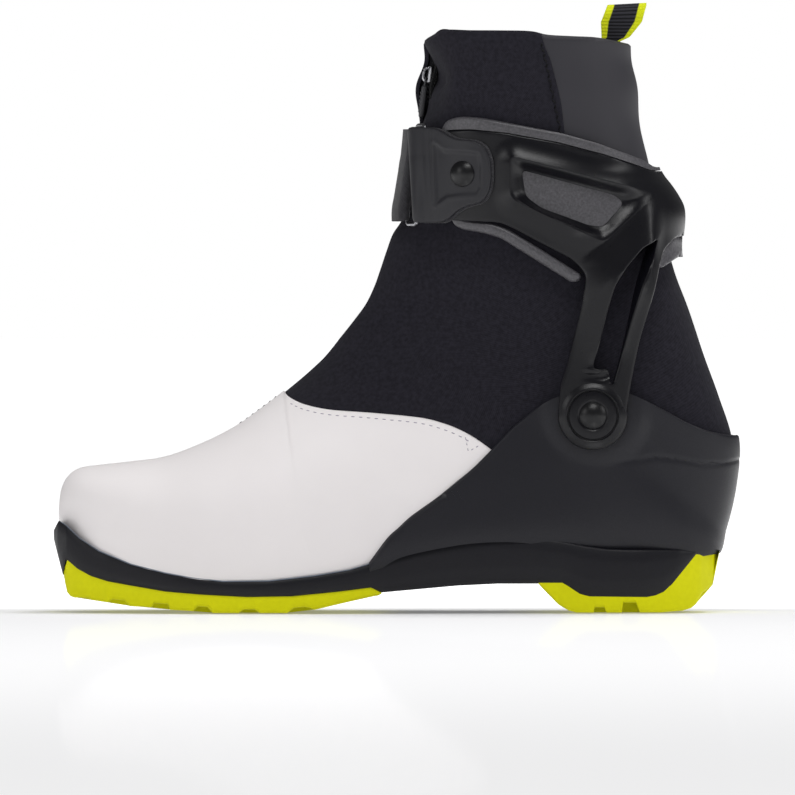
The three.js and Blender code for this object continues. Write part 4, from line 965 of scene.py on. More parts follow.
def flat_mesh(outer, holes=(), creases=(), step=1.1, rims=(0.12, 0.4, 0.9)):
    """Triangles over a flat outline with holes: corners along the outlines and creases, rows of
    points just inside them, and a staggered grid of points elsewhere."""
    loops = [np.asarray(outer, float), *(np.asarray(h, float) for h in holes)]
    lines = [(loop, True) for loop in loops] + [(np.asarray(c, float), False) for c in creases]
    fixed, edges, start = [], [], 0
    for line, closed in lines:
        n = len(line)
        fixed.append(line)
        edges += [(start + k, start + (k + 1) % n) for k in range(n if closed else n - 1)]
        start += n
    free = []
    for line, closed in lines:
        run = np.roll(line, -1, axis=0) - np.roll(line, 1, axis=0) if closed else np.gradient(line, axis=0)
        across = np.stack([run[:, 1], -run[:, 0]], 1) / np.maximum(np.linalg.norm(run, axis=1), 1e-9)[:, None]
        free += [line + side * rim * across for rim in rims for side in (-1, 1)]
    free = np.concatenate(free)
    low, high = loops[0].min(0), loops[0].max(0)
    gx, gz = np.meshgrid(np.arange(low[0], high[0], step), np.arange(low[1], high[1], step * 0.87), indexing="ij")
    gx = gx + (np.arange(gx.shape[1]) % 2)[None, :] * step / 2
    lattice = np.stack([gx.ravel(), gz.ravel()], 1)

    def room(points):
        return np.min([distance_to(points, line, closed) for line, closed in lines], axis=0)

    def kept(points):
        within = inside(points, loops[0])
        for hole in loops[1:]:
            within &= ~inside(points, hole)
        return points[within]
    free = kept(free)
    free = free[room(free) > rims[0] * 0.7]
    lattice = kept(lattice)
    lattice = lattice[room(lattice) > rims[-1] + step * 0.35]
    points = np.concatenate([*fixed, free, lattice])
    vertices, _, faces, *_ = delaunay_2d_cdt([Vector(p) for p in points.tolist()], edges, [], 0, 1e-5)
    flat = np.array([(v.x, v.y) for v in vertices])
    faces = np.array([list(f) for f in faces if len(f) == 3])
    middle = flat[faces].mean(1)
    keep = inside(middle, loops[0])
    for hole in loops[1:]:
        keep &= ~inside(middle, hole)
    edge = np.min([distance_to(flat, loop, True) for loop in loops], axis=0)
    return flat, faces[keep], edge


def cut_corners(points, radius, count):
    """A closed path whose corners are each cut by a curve of count points, of about that radius."""
    result = []
    for k, corner in enumerate(points):
        before, after = points[k - 1], points[(k + 1) % len(points)]
        reach = min(radius, 0.45 * np.linalg.norm(before - corner), 0.45 * np.linalg.norm(after - corner))
        start = corner + reach * (before - corner) / max(np.linalg.norm(before - corner), 1e-9)
        end = corner + reach * (after - corner) / max(np.linalg.norm(after - corner), 1e-9)
        t = np.linspace(0, 1, count)[:, None]
        result.append((1 - t) ** 2 * start + 2 * t * (1 - t) * corner + t * t * end)
    return np.concatenate(result)


def rounded(points, radius):
    """A closed outline with its corners cut, evenly spaced."""
    result = cut_corners(np.asarray(points, float), radius, 6)
    return spaced(np.r_[result, result[:1]], step=OUTLINE_STEP)[:-1]


def cuff_piece(name, outline, slot, rise, thickness, holes=(), creases=(), radius=0.8, sides=(MEDIAL, LATERAL),
               step=1.1, sharp=34, corner=2.0):
    """A moulded piece on the cuff, from side-view outlines: rise gives its height over the cuff's face
    at each side-view point, its edges are rolled, and thickness is (the highest place that the inner
    skin follows, the wall under it)."""
    loops = [on_cuff(rounded(line, corner)) for line in (outline, *holes)]
    lines = [on_cuff(spaced(line, step=OUTLINE_STEP)) for line in creases]
    flat, faces, edge = flat_mesh(loops[0], loops[1:], lines, step)
    # No rolled edge where the two sides meet at the rear
    no_edge = 9.0
    to_rear = math.pi * WRAP - flat[:, 0]
    edge = np.where(to_rear < 0.02, no_edge, edge)
    edge = np.where((np.abs(to_rear) < 1.2) & (np.abs(edge - np.abs(to_rear)) < 0.2), no_edge, edge)
    face = rise(cuff(flat[:, 0] / WRAP, flat[:, 1])[:, [0, 2]])
    highest, wall_thickness = thickness
    points, all_faces, uv = [], [], []
    for side in sides:
        outer = cuff(side * flat[:, 0] / WRAP, flat[:, 1], face - roll(edge, radius))
        inner = cuff(side * flat[:, 0] / WRAP, flat[:, 1], np.minimum(face, highest) - wall_thickness)
        p, f = shell(outer, inner, faces)
        all_faces.append(outward(p, f) + sum(map(len, points)))
        points.append(p)
        uv += [flat, flat]
    return make(name, np.concatenate(points), np.concatenate(all_faces), slot, np.concatenate(uv), sharp)


LEG_FRONT = [[68.2, 95.1], [70.8, 103.4], [74.5, 117.7], [77.6, 129.7], [78.6, 138.5]]
LEG_REAR = [[112.1, 152.2], [109.1, 145.5], [106.1, 132.7], [101.6, 114.7], [98.2, 97], [96, 84]]
FRAME_OUTLINE = [
    [18, 201], [21.7, 202.2], [30.5, 202.4], [45.9, 200.9], [67.3, 197], [87.1, 191.9], [100, 187.7], [106.7, 185.2],
    [125, 185.2], [125, 158.6], [117, 157.4], *LEG_REAR, [92, 74], [82, 70.5], [72, 74], [67.4, 84], *LEG_FRONT,
    [78.9, 141.6], [75.8, 145.8], [71.6, 149.1], [59, 155.6], [49, 161], [43, 163.6], [27, 164.2], [18, 165.5]]
LEG_SLOT = [[107.6, 157], [100.8, 153], [94.9, 145.5], [90.3, 137.2], [87.5, 125.2], [84.4, 111.7], [82, 104.5],
            [82.4, 102.3], [88.4, 102.3], [89.4, 95.8], [90.4, 95.8], [92.9, 104.5], [96.4, 118.4], [100.9, 137.2]]
FRONT_LIP = [[20.9, 166.5], [22.8, 162.4], [25.9, 160.7], [35.9, 159], [42.6, 157], [72.5, 138.7], [75.8, 138.7],
             [77.6, 141.5], [59.1, 152.8], [45.9, 160.7], [39.2, 163.2], [30, 164], [24.5, 166]]
WINDOW = [[51.9, 185.5], [92.4, 174.9], [95.8, 171.7], [86.9, 162], [81, 162.5], [60, 170], [53.6, 174.7]]
BEZEL = [[47.6, 191.9], [107.7, 175.6], [86.1, 154.9], [47.6, 173.8]]
LINER_OUTLINE = [
    [17.6, 202.6], [19.5, 206.4], [25, 208.1], [33.9, 207.5], [50, 204.6], [68.2, 201.3], [84.4, 197], [96, 192.9],
    [104.1, 190], [109, 186.9], [125, 186.6], [125, 161], [113, 160.5], [101, 159], [93, 152.8], [86, 150.5],
    [72, 153.5], [60, 159.5], [47, 165.5], [30, 167], [18.5, 168.5]]
REAR_LUG = [[125, 158.4], [125, 149.1], [119.4, 149.1], [111.8, 144.4], [109.1, 145.7], [111, 150], [114, 155],
            [116.8, 157.9]]


def frame_relief(view):
    """The frame's height over its face: a raised bezel that falls away outwards and whose inner faces
    slope down into the window, a shoulder that rises from the bezel to the legs' slot, raised rims
    along the slot, and a sunk web with a small oblong lump between the legs and the eye."""
    ring, window = (rounded(line, 3.5) for line in (BEZEL, WINDOW))
    out, into = distance_to(view, ring, True), distance_to(view, window, True)
    corner, run = np.array(BEZEL[2], float), np.array(BEZEL[1], float) - BEZEL[2]
    run /= np.linalg.norm(run)
    past = (view[:, 0] - corner[0]) * run[1] - (view[:, 1] - corner[1]) * run[0]
    lip = 3.0 - 2.2 * soft_step(past, -14, 0)
    bezel = lip - (lip + 1.7) * soft_step(out / np.maximum(out + into, 1e-6), 0.03, 0.95)
    outside = lip * np.clip(1 - out / 9, 0, 1) ** 2
    shoulder = ((0.8 + 3.4 * np.clip(past / 13, 0, 1)) * soft_step(past, -2, 1) * soft_step(view[:, 1], 104, 150)
                * soft_step(view[:, 0], 70, 86) * (1 - soft_step(view[:, 0], 103, 113)))
    slot = distance_to(view, LEG_SLOT, True)
    rim = (0.5 * (1 - soft_step(slot, 0.5, 2.0)) * soft_step(view[:, 1], 106, 112)
           * (1 - soft_step(view[:, 1], 134, 146)))
    web = distance_to(view, [[83.4, 99.6], [87, 99.6]]) - 2.2
    lump = distance_to(view, [[85, 98.4], [85, 100.6]]) - 0.9
    sunk = -0.9 * (1 - soft_step(web, -0.8, 0.4)) + 0.8 * (1 - soft_step(lump, -0.5, 0.4))
    return np.where(inside(view, ring), bezel, np.maximum(outside, shoulder + rim) + sunk)


def liner_relief(view):
    """The liner lies behind the frame, and a raised band along its edge stands beside the frame."""
    ring = np.asarray(FRAME_OUTLINE, float)
    beyond = np.where(inside(view, ring), -1, 1) * distance_to(view, ring, True)
    return np.where(inside(view, np.asarray(BEZEL, float)), -2.0, -3.2 + 2.8 * soft_step(beyond, 0.0, 0.35))


def grown(line, distance):
    """A closed outline moved outwards, square to itself."""
    line = spaced(np.r_[line, line[:1]], step=OUTLINE_STEP)[:-1]
    run = np.roll(line, -1, axis=0) - np.roll(line, 1, axis=0)
    run /= np.linalg.norm(run, axis=1)[:, None]
    turn = np.sign(np.sum(np.roll(line[:, 0], -1) * line[:, 1] - line[:, 0] * np.roll(line[:, 1], -1)))
    return line + distance * turn * np.stack([-run[:, 1], run[:, 0]], 1)


def build_cuff():
    """The cuff's frame with its bezel and slotted legs, the liner behind it and the pivot eyes."""
    ring = rounded(BEZEL, 3.5)
    frame_piece = cuff_piece("cuff_frame_shell", FRAME_OUTLINE, "cuff_plastic", frame_relief, (0.0, 2.6),
                             holes=(LEG_SLOT, WINDOW), creases=(np.r_[ring, ring[:1]],), radius=0.6)
    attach(frame_piece, "cuff")
    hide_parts("cuff_frame")
    steps = [grown(FRAME_OUTLINE, gap) for gap in (0.0, 0.35)]
    liner = cuff_piece("cuff_liner_shell", LINER_OUTLINE, "cuff_grain", liner_relief, (-3.1, 1.2), radius=1.2,
                       creases=[np.r_[line, line[:1]] for line in steps], step=1.2)
    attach(liner, "cuff")
    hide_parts("cuff_liner")
    lip = cuff_piece("cuff_front_lip", FRONT_LIP, "cuff_grain", lambda view: -0.5 + 0 * view[:, 0], (-1.0, 1.6),
                     radius=1.6, step=1.2)
    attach(lip, "cuff")
    lug = cuff_piece("cuff_rear_lug", REAR_LUG, "cuff_grain", lambda view: -0.6 + 0 * view[:, 0], (-1.0, 1.8),
                     radius=1.2, step=1.2, corner=1.0)
    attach(lug, "cuff")
    for side, label in ((LATERAL, "lateral"), (MEDIAL, "medial")):
        build_pivot(side, label)


def cap(radius, height, base, rows=14):
    """The profile of a shallow spherical dome from its rim to its top."""
    sphere = (radius ** 2 + height ** 2) / (2 * height)
    return [(r, base + height - sphere + math.sqrt(sphere ** 2 - r ** 2))
            for r in radius * np.cos(np.linspace(0, math.pi / 2 - 0.02, rows))]


def build_pivot(side, label):
    """One pivot: the eye's ring on the cuff, the cover disc, the domed rivet and its washer."""
    centre = np.array([PIVOT[0], 0, PIVOT[1]])
    axis = (0, side, 0)
    eye = [(4.6, 39.2), (13.2, 39.2), (14.2, 39.9), (14.5, 40.8), (14.3, 41.8), (13.5, 42.6), (12.3, 43.1),
           (11.6, 43.6), (11.1, 43.7), (10.8, 43.5), (10.6, 42.9), (10.6, 41.2), (4.7, 41.2)]
    piece = turned(f"pivot_eye_{label}", centre, axis, eye, "cuff_plastic", 96)
    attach(piece, "cuff")
    disc = [(4.7, 41.8), (9.9, 41.8), (10.2, 42.2), (10.2, 43.0), (9.9, 43.35), (9.3, 43.5), (6.6, 43.5),
            (6.15, 43.2), (4.7, 43.1)]
    piece = turned(f"pivot_cover_{label}", centre, axis, disc, "cuff_plastic", 96)
    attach(piece, "boot")
    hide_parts(f"pivot_disc_{label}")
    dome = cap(5.6, 2.3, 43.4)
    rivet = [(4.1, 35.2), (4.1, 43.0), (5.4, 43.1), (5.7, 43.3)] + dome
    piece = turned(f"pivot_dome_{label}", centre, axis, rivet, "rivet_metal", 72, sharp=60)
    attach(piece, "boot")
    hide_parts(f"pivot_rivet_{label}")
    washer = [(4.6, 35.1), (7.9, 35.1), (7.9, 36.0), (4.6, 36.0)]
    piece = turned(f"pivot_shim_{label}", centre, axis, washer, "steel", 48)
    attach(piece, "boot")
    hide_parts(f"pivot_washer_{label}")


# ---------------------------------------------------------------- strap

STRAP_LOW, STRAP_HIGH = 164.4, 202.8
STRAP_HALF_THICK = 0.7
BAR_TURN_RADIUS = 1.75
RING_CORNER = 2.2
FRONT_BAR = np.array([[4.2, -17.8, 162.9], [8.4, -17.8, 204.3]])
REAR_BAR_X = 10.6
ANCHOR_OUTLINE = [
    [8.0, 204], [16.9, 203.4], [20.5, 201.4], [24.6, 198.6], [33, 197.8], [37, 195.6], [39.6, 190], [40, 183],
    [39.2, 176.8], [36.4, 172.3], [30, 170.6], [26, 168.6], [21.4, 163.9], [9.8, 163.3]]
PANEL = [[17, 196.5], [21, 193.6], [30, 193.2], [34.6, 192.4], [35.6, 188], [35.4, 178.5], [34, 175.6],
         [28, 175.4], [22, 174.6], [17.6, 171.4]]


def bar_at(z):
    """Where the ring's front bar is at a height."""
    t = (np.asarray(z) - FRONT_BAR[0, 2]) / (FRONT_BAR[1, 2] - FRONT_BAR[0, 2])
    return FRONT_BAR[0] + np.asarray(t)[..., None] * (FRONT_BAR[1] - FRONT_BAR[0])


def strap_angle(x, z):
    """The cuff angle of a side-view point."""
    return on_cuff(np.array([[x, z]]))[0, 0] / WRAP


def build_strap():
    """The strap: an outer layer that turns round the ring's front bar, and the inner layer under it."""
    z = np.linspace(STRAP_LOW, STRAP_HIGH, 44)
    frayed = 0.25 * np.sin(np.arange(150) * 1.9) + 0.2 * np.sin(np.arange(150) * 0.77)
    flap = strap_layer(z, strap_angle(34, 184), 2.7, True, frayed)
    piece = wall("strap_outer", flap[0], flap[1], "strap_web", 50)
    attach(piece, "strap_flap")
    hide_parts("strap_flap")
    inner = strap_layer(z, strap_angle(47, 184), 1.0, False, frayed)
    piece = wall("strap_lower", inner[0], inner[1], "strap_web", 50)
    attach(piece, "cuff")
    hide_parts("strap_inner")


def strap_layer(z, end, rise, turns, frayed):
    """Two skins of a strap layer, a grid of heights by path: along the cuff from its end on the inner
    side, round the front to the bar, and round the bar in a half circle if it turns."""
    skins = []
    reach = np.array([bar_reach(point) for point in bar_at(z)])
    share = np.linspace(0, 1, 110)
    base = reach[:, None] + (end - reach)[:, None] * share[None, ::-1]
    for offset in (STRAP_HALF_THICK, -STRAP_HALF_THICK):
        sheet = cuff(base, z[:, None], rise + offset)
        if turns:
            tip, before = sheet[:, -1], sheet[:, -2]
            run = tip - before
            run[:, 2] = 0
            run /= np.linalg.norm(run, axis=1)[:, None]
            out = np.stack([run[:, 1], -run[:, 0], 0 * run[:, 0]], 1)
            out *= np.sign(np.einsum("ij,ij->i", out, tip - [60, 0, 0]))[:, None]
            middle = cuff(base[:, -1], z, rise - BAR_TURN_RADIUS)
            angle = np.linspace(0, math.pi, 14)[1:]
            radius = BAR_TURN_RADIUS + offset
            turn = middle[:, None] + radius * (np.cos(angle)[None, :, None] * out[:, None]
                                               + np.sin(angle)[None, :, None] * run[:, None])
            sheet = np.concatenate([sheet, turn], axis=1)
        sheet[0, :, 2] += frayed[:sheet.shape[1]]
        skins.append(sheet)
    return skins


def bar_reach(point):
    """The cuff angle, on the outer side, of a point near the ring's front bar."""
    angles = np.linspace(-1.2, -0.02, 240)
    y = cuff(angles, np.full(240, point[2]), 1.0)[:, 1]
    return float(np.interp(point[1], y, angles))


def anchor_relief(view):
    """The anchor's height over the cuff: a round hem over the ring's bar, two shallow ribs behind it,
    and a sunk panel with soft sides round the rivet."""
    x = view[:, 0] - 0.045 * (184 - view[:, 1])
    hem = 2.6 * np.exp(-((x - 10.4) / 2.9) ** 2)
    ribs = 0.35 * np.exp(-((x - 14.6) / 0.9) ** 2) + 0.3 * np.exp(-((x - 17.0) / 0.8) ** 2)
    panel = np.asarray(PANEL, float)
    within = np.where(inside(view, panel), 1, -1) * distance_to(view, panel, True)
    sunk = -0.75 * soft_step(within, -0.7, 1.0)
    rim = 0.15 * np.exp(-((within + 1.2) / 0.7) ** 2)
    return 2.2 + hem + ribs + sunk + rim


def build_anchor():
    """The anchor tab on the outer side, its rivet, and the wire ring that it holds."""
    piece = cuff_piece("anchor_tab", ANCHOR_OUTLINE, "anchor_plastic", anchor_relief, (0.6, 0.3), radius=0.5,
                       sides=(LATERAL,), step=0.7, corner=3.0)
    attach(piece, "cuff")
    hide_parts("strap_anchor")
    backing = [[x + (0.7 if x > 20 else 0), z + (0.5 if z > 185 else -0.5) * (x > 17)] for x, z in ANCHOR_OUTLINE]
    piece = cuff_piece("anchor_backing", backing, "strap_web", lambda view: 1.25 + 0 * view[:, 0], (0.6, 0.5),
                       radius=0.3, sides=(LATERAL,), step=1.2, corner=3.0)
    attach(piece, "cuff")
    rivets = (("lateral", (27.9, 184), LATERAL, 1.4), ("medial", (40.6, 184), MEDIAL, 1.8))
    for label, (x, z), side, rise in rivets:
        angle = side * strap_angle(x, z)
        foot, tip = cuff(angle, z, rise), cuff(angle, z, rise + 1)
        nearby = cuff(angle + 0.02, z, rise) - foot
        axis = np.cross(nearby, (0, 0, 1))
        axis *= np.sign(axis @ (tip - foot))
        dome = cap(5.4, 2.2, 0.3)
        piece = turned(f"strap_stud_{label}", foot, axis, [(3, -3), (3, -0.4), (5.3, -0.3), (5.5, 0)] + dome,
                       "rivet_metal", 56, sharp=60)
        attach(piece, "cuff")
        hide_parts(f"strap_rivet_{label}")
    rear = cuff(-strap_angle(REAR_BAR_X, 184), np.array([162.9, 204.3]), 1.2)
    path = cut_corners([FRONT_BAR[0], FRONT_BAR[1], rear[1], rear[0]], RING_CORNER, 7)
    piece = wire_loop("ring_wire", path, 0.95, "steel", 14)
    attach(piece, "cuff")
    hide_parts("strap_ring")


# ---------------------------------------------------------------- zip, lining and loop

SLIDE_AXIS = np.array(JOINTS["zip_slide"]["axis"])
PULLER_AT = np.array(JOINTS["zip_puller_swing"]["pos_m"]) / MM


def build_zip():
    """The zip's tapes under the fabric, and the coil's teeth."""
    rows = np.linspace(ZIP_START - 0.3, 28.6, 150)
    half = slot_angle(rows, 9)
    grid = np.stack([np.broadcast_to(rows[:, None], (150, 25)), half[:, None] * np.linspace(-1, 1, 25)], -1)
    skins = [last(grid[..., 0], grid[..., 1], d) for d in (4.2, 5.2)]
    piece = wall("zip_tapes", *skins, "zip_tape")
    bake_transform(piece)
    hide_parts("zip_tape_foot", "zip_tape_ankle", "zip_tape_collar")
    line = last(np.linspace(ZIP_START, 28.4, 600), 0, 4.0)
    length = run_lengths(line)
    teeth = []
    for k, at in enumerate(np.arange(0.8, length[-1], 1.05)):
        middle = places(line, length, at)
        side = 1 if k % 2 else -1
        y = np.linspace(-0.9, 2.3, 5) * side
        bulge = np.array([0.25, -0.3, -0.45, -0.3, 0.3])
        teeth.append(little_tube(np.stack([middle[0] + bulge, y, middle[2] + 0 * y], 1), 0.42))
    piece = many("zip_teeth", teeth, "zip_tape")
    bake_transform(piece)


def build_slider():
    """The zip's slider with its arch, and the rubber puller that hangs on it by a link."""
    low, high = (np.array([*corner]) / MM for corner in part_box("zip_slider"))
    centre = (low + high) / 2 + [0.9, 0, 0]
    up, out = SLIDE_AXIS, np.array([-SLIDE_AXIS[2], 0, SLIDE_AXIS[0]])
    body = [rounded_block(centre, up, out, h, w, d) for h, w, d in
            ((-3.6, 1.7, 0.7), (-3.2, 2.1, 1.0), (-1, 2.3, 1.1), (1.2, 2.9, 1.1), (3.0, 2.9, 1.0), (3.5, 2.5, 0.7))]
    arch = np.array([centre + up * h + out * o for h, o in
                     ((2.6, 0.7), (2.5, 2.0), (1.8, 2.7), (0, 2.9), (-1.8, 2.8), (-2.9, 2.0), (-3.1, 0.7))])
    piece = many("slider_body", [np.array(body), little_tube(spaced(arch, count=15), 0.62, 10)], "zip_metal")
    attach(piece, "zip_slider")
    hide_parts("zip_slider")
    down, pin = -up, PULLER_AT
    link = np.array([pin + out * o + down * d + np.array([0, y, 0]) for o, d, y in
                     ((0, -0.3, -1.4), (0, 1.2, -1.7), (0, 3.4, -1.6), (0, 3.9, 0), (0, 3.4, 1.6), (0, 1.2, 1.7),
                      (0, -0.3, 1.4), (0, -0.5, 0), (0, -0.3, -1.4))])
    grip = [rounded_block(pin, down, out, h, w, d) for h, w, d in
            ((3.0, 1.5, 0.8), (3.4, 2.1, 1.15), (5, 2.3, 1.25), (9, 2.4, 1.25), (14.5, 2.5, 1.25), (16, 2.2, 1.1),
             (16.4, 1.6, 0.8))]
    ribs = [np.array([rounded_block(pin + out * 1.15, down, out, h + e, 1.9, r) for e, r in
                      ((-0.45, 0.1), (-0.2, 0.4), (0.2, 0.4), (0.45, 0.1))]) for h in np.arange(6, 15, 1.6)]
    piece = many("puller_grip", [np.array(grip), little_tube(spaced(link, count=26), 0.45, 8), *ribs],
                 "puller_rubber")
    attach(piece, "zip_puller")
    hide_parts("zip_puller")


def rounded_block(centre, up, out, height, half, depth):
    """One ring of a soft-cornered block: a superellipse across the zip, at a height along it."""
    angle = np.linspace(0, 2 * math.pi, 20, endpoint=False)
    cos, sin = np.cos(angle), np.sin(angle)
    y = half * np.sign(cos) * np.abs(cos) ** 0.6
    o = depth * np.sign(sin) * np.abs(sin) ** 0.6
    return centre + up * height + o[:, None] * out + np.stack([0 * y, y, 0 * y], 1)


def build_lining():
    """The insulated lining from the forefoot to the collar."""
    top = trace(COLLAR_TOP, 120)
    rows = np.linspace(0, 1, 110)
    share = edge_shares(60, 0.02)
    guess = 6 + rows * 23
    left = slot_angle(guess, np.interp(guess, [ZIP_START - 0.5, ZIP_START + 1, 29], [0, 4.5, 6]))
    angle = left[:, None] + (math.pi - left)[:, None] * share[None, :]
    high = np.interp(angle, top[:, 1], top[:, 0]) - 0.12
    s = 6 + (high - 6) * rows[:, None]
    grid = np.stack([s, angle], -1)
    rim = roll((1 - rows) * 190, 1.6)[:, None]
    piece = both_sides("lining", grid, 2.15 + rim + 0 * s, 5.3 - rim + 0 * s, "lining", collar_front_folds_inside)
    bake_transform(piece)
    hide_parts("liner_foot", "liner_ankle", "liner_collar")


def build_tongue():
    """The padded tongue behind the zip, with stitched channels."""
    rows = np.linspace(10.2, 28.3, 90)
    half = slot_angle(rows, 21)
    across = np.sin(np.linspace(-1, 1, 31) * math.pi / 2)
    grid = np.stack([np.broadcast_to(rows[:, None], (90, 31)), half[:, None] * across], -1)
    round_off = (1 - np.minimum(1, 8 * (1 - np.abs(across)))) ** 2
    ends = np.clip(1 - np.minimum(rows - 10.2, 28.3 - rows) / 0.25, 0, 1)[:, None] ** 2
    thick = 1.9 * (1 - 0.75 * np.maximum(round_off[None, :], ends))
    channels = 0.25 * np.cos(half[:, None] * across * 20) ** 8
    skins = [last(grid[..., 0], grid[..., 1], 9.0 - thick + channels), last(grid[..., 0], grid[..., 1], 9.0 + thick)]
    tongue = wall("tongue_pad", *skins, "lining", 60)
    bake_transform(tongue)
    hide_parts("tongue")


def build_footbed():
    """The footbed, cupped at the heel and raised under the arch."""
    x = np.linspace(-122, 122, 120)
    lateral, medial = half_widths(x)
    floor = np.interp(x, LAST[3:18, 2], LAST[3:18, 3]) + 6.2
    share = np.linspace(-1, 1, 41)
    inset = 8
    close = np.sqrt(np.clip(1 - (x / 122.5) ** 16, 0, 1))
    y = np.where(share < 0, (lateral - inset)[:, None] * share, (medial - inset)[:, None] * share) * close[:, None]
    cup = 3.2 * np.abs(share[None, :]) ** 5 * soft_step(x, -20, 70)[:, None]
    arch = 3.0 * soft_step(share, 0.2, 1.0)[None, :] * np.exp(-((x - 5) / 38) ** 2)[:, None]
    top_z = floor[:, None] + 4.4 + cup + arch - roll((1 - np.abs(share)) * 38, 1.6)[None, :]
    skins = [np.stack([x[:, None] + 0 * y, y, z], -1) for z in (top_z, floor[:, None] + 0 * y)]
    insole = wall("footbed", *skins, "insole_foam", 50)
    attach(insole, "boot")
    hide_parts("insole")


def collar_front_folds_inside(points, side):
    """The lining follows the collar's folds, a little further in."""
    return collar_front_folds(points, side) - (0.4 if side == LATERAL else 0) * np.array([0, -1, 0])


def build_pull_loop():
    """The pull loop: a ribbed ribbon up from inside the collar's back, over in an arch and down again,
    leaning to the rear and a little twisted."""
    half, low, spring = 4.5, 226.0, 249.6
    legs = np.stack([np.full(30, half), np.linspace(low, spring, 30)], 1)
    angle = np.linspace(0, math.pi, 34)[1:-1]
    arch = np.stack([half * np.cos(angle), spring + 4.9 * np.sin(angle)], 1)
    path = np.concatenate([legs, arch, (legs * [-1, 1])[::-1]])
    run = np.gradient(path, axis=0)
    run /= np.linalg.norm(run, axis=1)[:, None]
    out = np.stack([run[:, 1], -run[:, 0]], 1)
    along = run_lengths(path)
    levels = [225, 236, 239.6, 241.5, 248, 255]
    front = np.interp(path[:, 1], levels, [79, 82.6, 85.2, 85.9, 85.6, 88.6])
    rear = np.interp(path[:, 1], levels, [89, 91.6, 93.4, 97.6, 102.9, 104.9])
    twist = 0.25 * np.sin(along * 0.13)
    share = np.linspace(0, 1, 17)
    skins = []
    for lift in (0.65, -0.65):
        y = path[:, :1] + lift * out[:, :1] + twist[:, None] * (share - 0.5) * 2
        z = path[:, 1:] + lift * out[:, 1:] + 0.9 * share * soft_step(path[:, 1:], 246, 254)
        x = front[:, None] + (rear - front)[:, None] * share
        skins.append(np.stack(np.broadcast_arrays(x, y, z), -1))
    grid_uv = np.stack(np.broadcast_arrays(along[:, None], (share - 0.5)[None, :] * 13.2), -1).reshape(-1, 2)
    points, faces = shell(skins[0], skins[1], quads(*skins[0].shape[:2]))
    piece = make("loop_ribbon", points, outward(points, faces), "loop_web", np.r_[grid_uv, grid_uv], 50)
    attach(piece, "cuff")
    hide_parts("pull_loop")


# ---------------------------------------------------------------- stage

def glossy_floor():
    """A white floor that glows more behind, beside and far in front of the boot, under a thin gloss
    that fades out towards the viewer."""
    pale = Finish("floor_pale", (0.85, 0.85, 0.855), 1.0, specular=0.0)
    side, depth = pale.axis(0).math("ABSOLUTE"), pale.axis(1)
    away = (depth.above(0.1, 0.1) + (depth * -1).above(2.4, 4.4) * 0.6 + side.above(0.34, 0.2)).math("MINIMUM", 1.0)
    pale.set("Emission Color", pale.mix(away, (0.2, 0.2, 0.205), (1.0, 1.0, 1.0)))
    pale.set("Emission Strength", 1.0)
    gloss = pale.node("ShaderNodeBsdfGlossy", inputs={"Color": (1, 1, 1, 1), "Roughness": 0.035})
    nearness = pale.axis(1).above(-2.0, 4.0)
    mixed = pale.node("ShaderNodeMixShader", inputs={0: nearness * 0.17, 2: gloss})
    pale.tree.links.new(pale.shader.outputs[0], mixed.socket.node.inputs[1])
    pale.tree.links.new(mixed.socket, pale.tree.nodes["Material Output"].inputs["Surface"])
    return pale


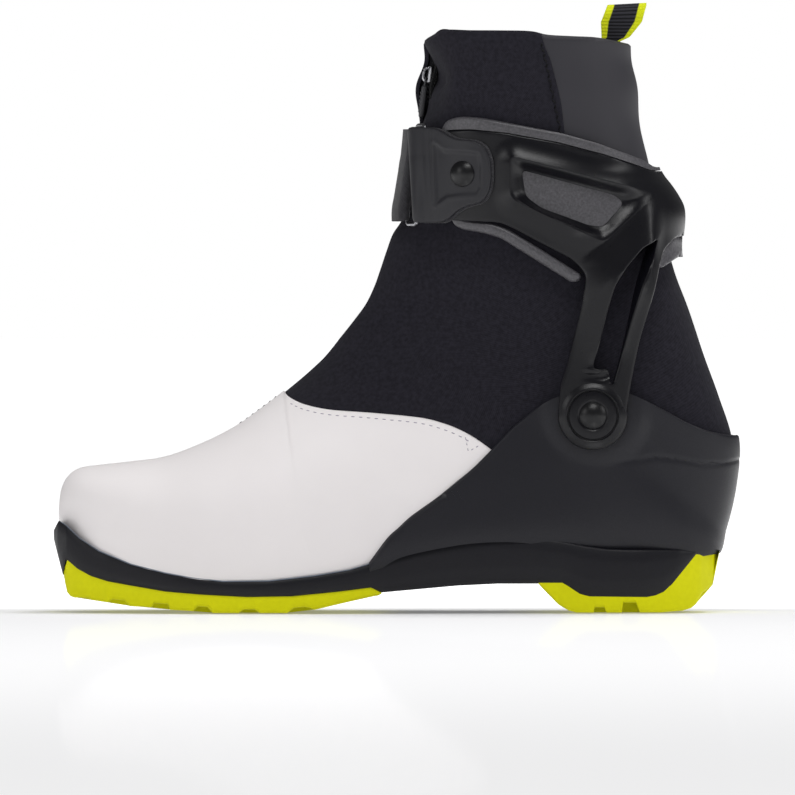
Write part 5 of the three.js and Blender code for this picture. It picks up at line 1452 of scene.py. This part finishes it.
def build_stage():
    """A camera square to the boot's outer side, a pale floor, and soft light from above and in front."""
    camera = bpy.data.cameras.new("camera")
    camera.sensor_width = 36
    width, distance, aim, tilt = 0.3346, 10.0, 0.0899, math.radians(0.55)
    camera.lens = camera.sensor_width * distance / width
    camera.clip_end = 50
    holder = bpy.data.objects.new("camera", camera)
    holder.location = (0, -distance * math.cos(tilt), aim + distance * math.sin(tilt))
    holder.rotation_euler = (math.pi / 2 - tilt, 0, 0)
    bpy.context.scene.collection.objects.link(holder)
    bpy.context.scene.camera = holder

    floor = bpy.data.meshes.new("floor")
    size = 16
    floor.from_pydata([(-size, -size, 0), (size, -size, 0), (size, size, 0), (-size, size, 0)], [], [(0, 1, 2, 3)])
    plane = bpy.data.objects.new("floor", floor)
    floor.materials.append(glossy_floor().material)
    bpy.context.scene.collection.objects.link(plane)
    plane.location.z = -0.0004

    for name, place, aim_at, (wide, tall), power in (
            ("key", (0.15, -1.25, 1.95), (0, 0, 0.1), (1.0, 0.5), 15),
            ("top", (0.5, 0.35, 1.7), (0.03, 0, 0.12), (0.8, 0.6), 12),
            ("front", (-1.6, -1.2, 0.9), (0, 0, 0.08), (0.6, 0.8), 4.5),
            ("rear", (1.5, -0.4, 0.9), (0.05, 0, 0.12), (0.3, 0.8), 3.5)):
        light = bpy.data.lights.new(name, "AREA")
        light.shape = "RECTANGLE"
        light.size, light.size_y, light.energy = wide, tall, power
        lamp = bpy.data.objects.new(name, light)
        lamp.location = place
        lamp.rotation_euler = (Vector(aim_at) - Vector(place)).to_track_quat("-Z", "Y").to_euler()
        bpy.context.scene.collection.objects.link(lamp)

    world = bpy.data.worlds.new("studio")
    world.use_nodes = True
    bpy.context.scene.world = world
    tree = world.node_tree
    sky = tree.nodes["Background"]
    sky.inputs["Color"].default_value = (1, 1, 1, 1)
    ray = tree.nodes.new("ShaderNodeLightPath")
    strength = 0.1
    for output, share in (("Is Camera Ray", 0.9), ("Is Diffuse Ray", 0.28)):
        level = tree.nodes.new("ShaderNodeMath")
        level.operation = "MULTIPLY_ADD"
        level.inputs[1].default_value = share
        tree.links.new(ray.outputs[output], level.inputs[0])
        if isinstance(strength, float):
            level.inputs[2].default_value = strength
        else:
            tree.links.new(strength, level.inputs[2])
        strength = level.outputs[0]
    tree.links.new(strength, sky.inputs["Strength"])
    bpy.context.scene.view_settings.view_transform = "Standard"


for build in (build_stage, build_softshell, build_collar, build_toe_cap, build_counter, build_sole_plate, build_treads,
              build_bar, build_cuff, build_strap, build_anchor, build_zip, build_slider, build_lining, build_tongue,
              build_footbed, build_pull_loop):
    build()
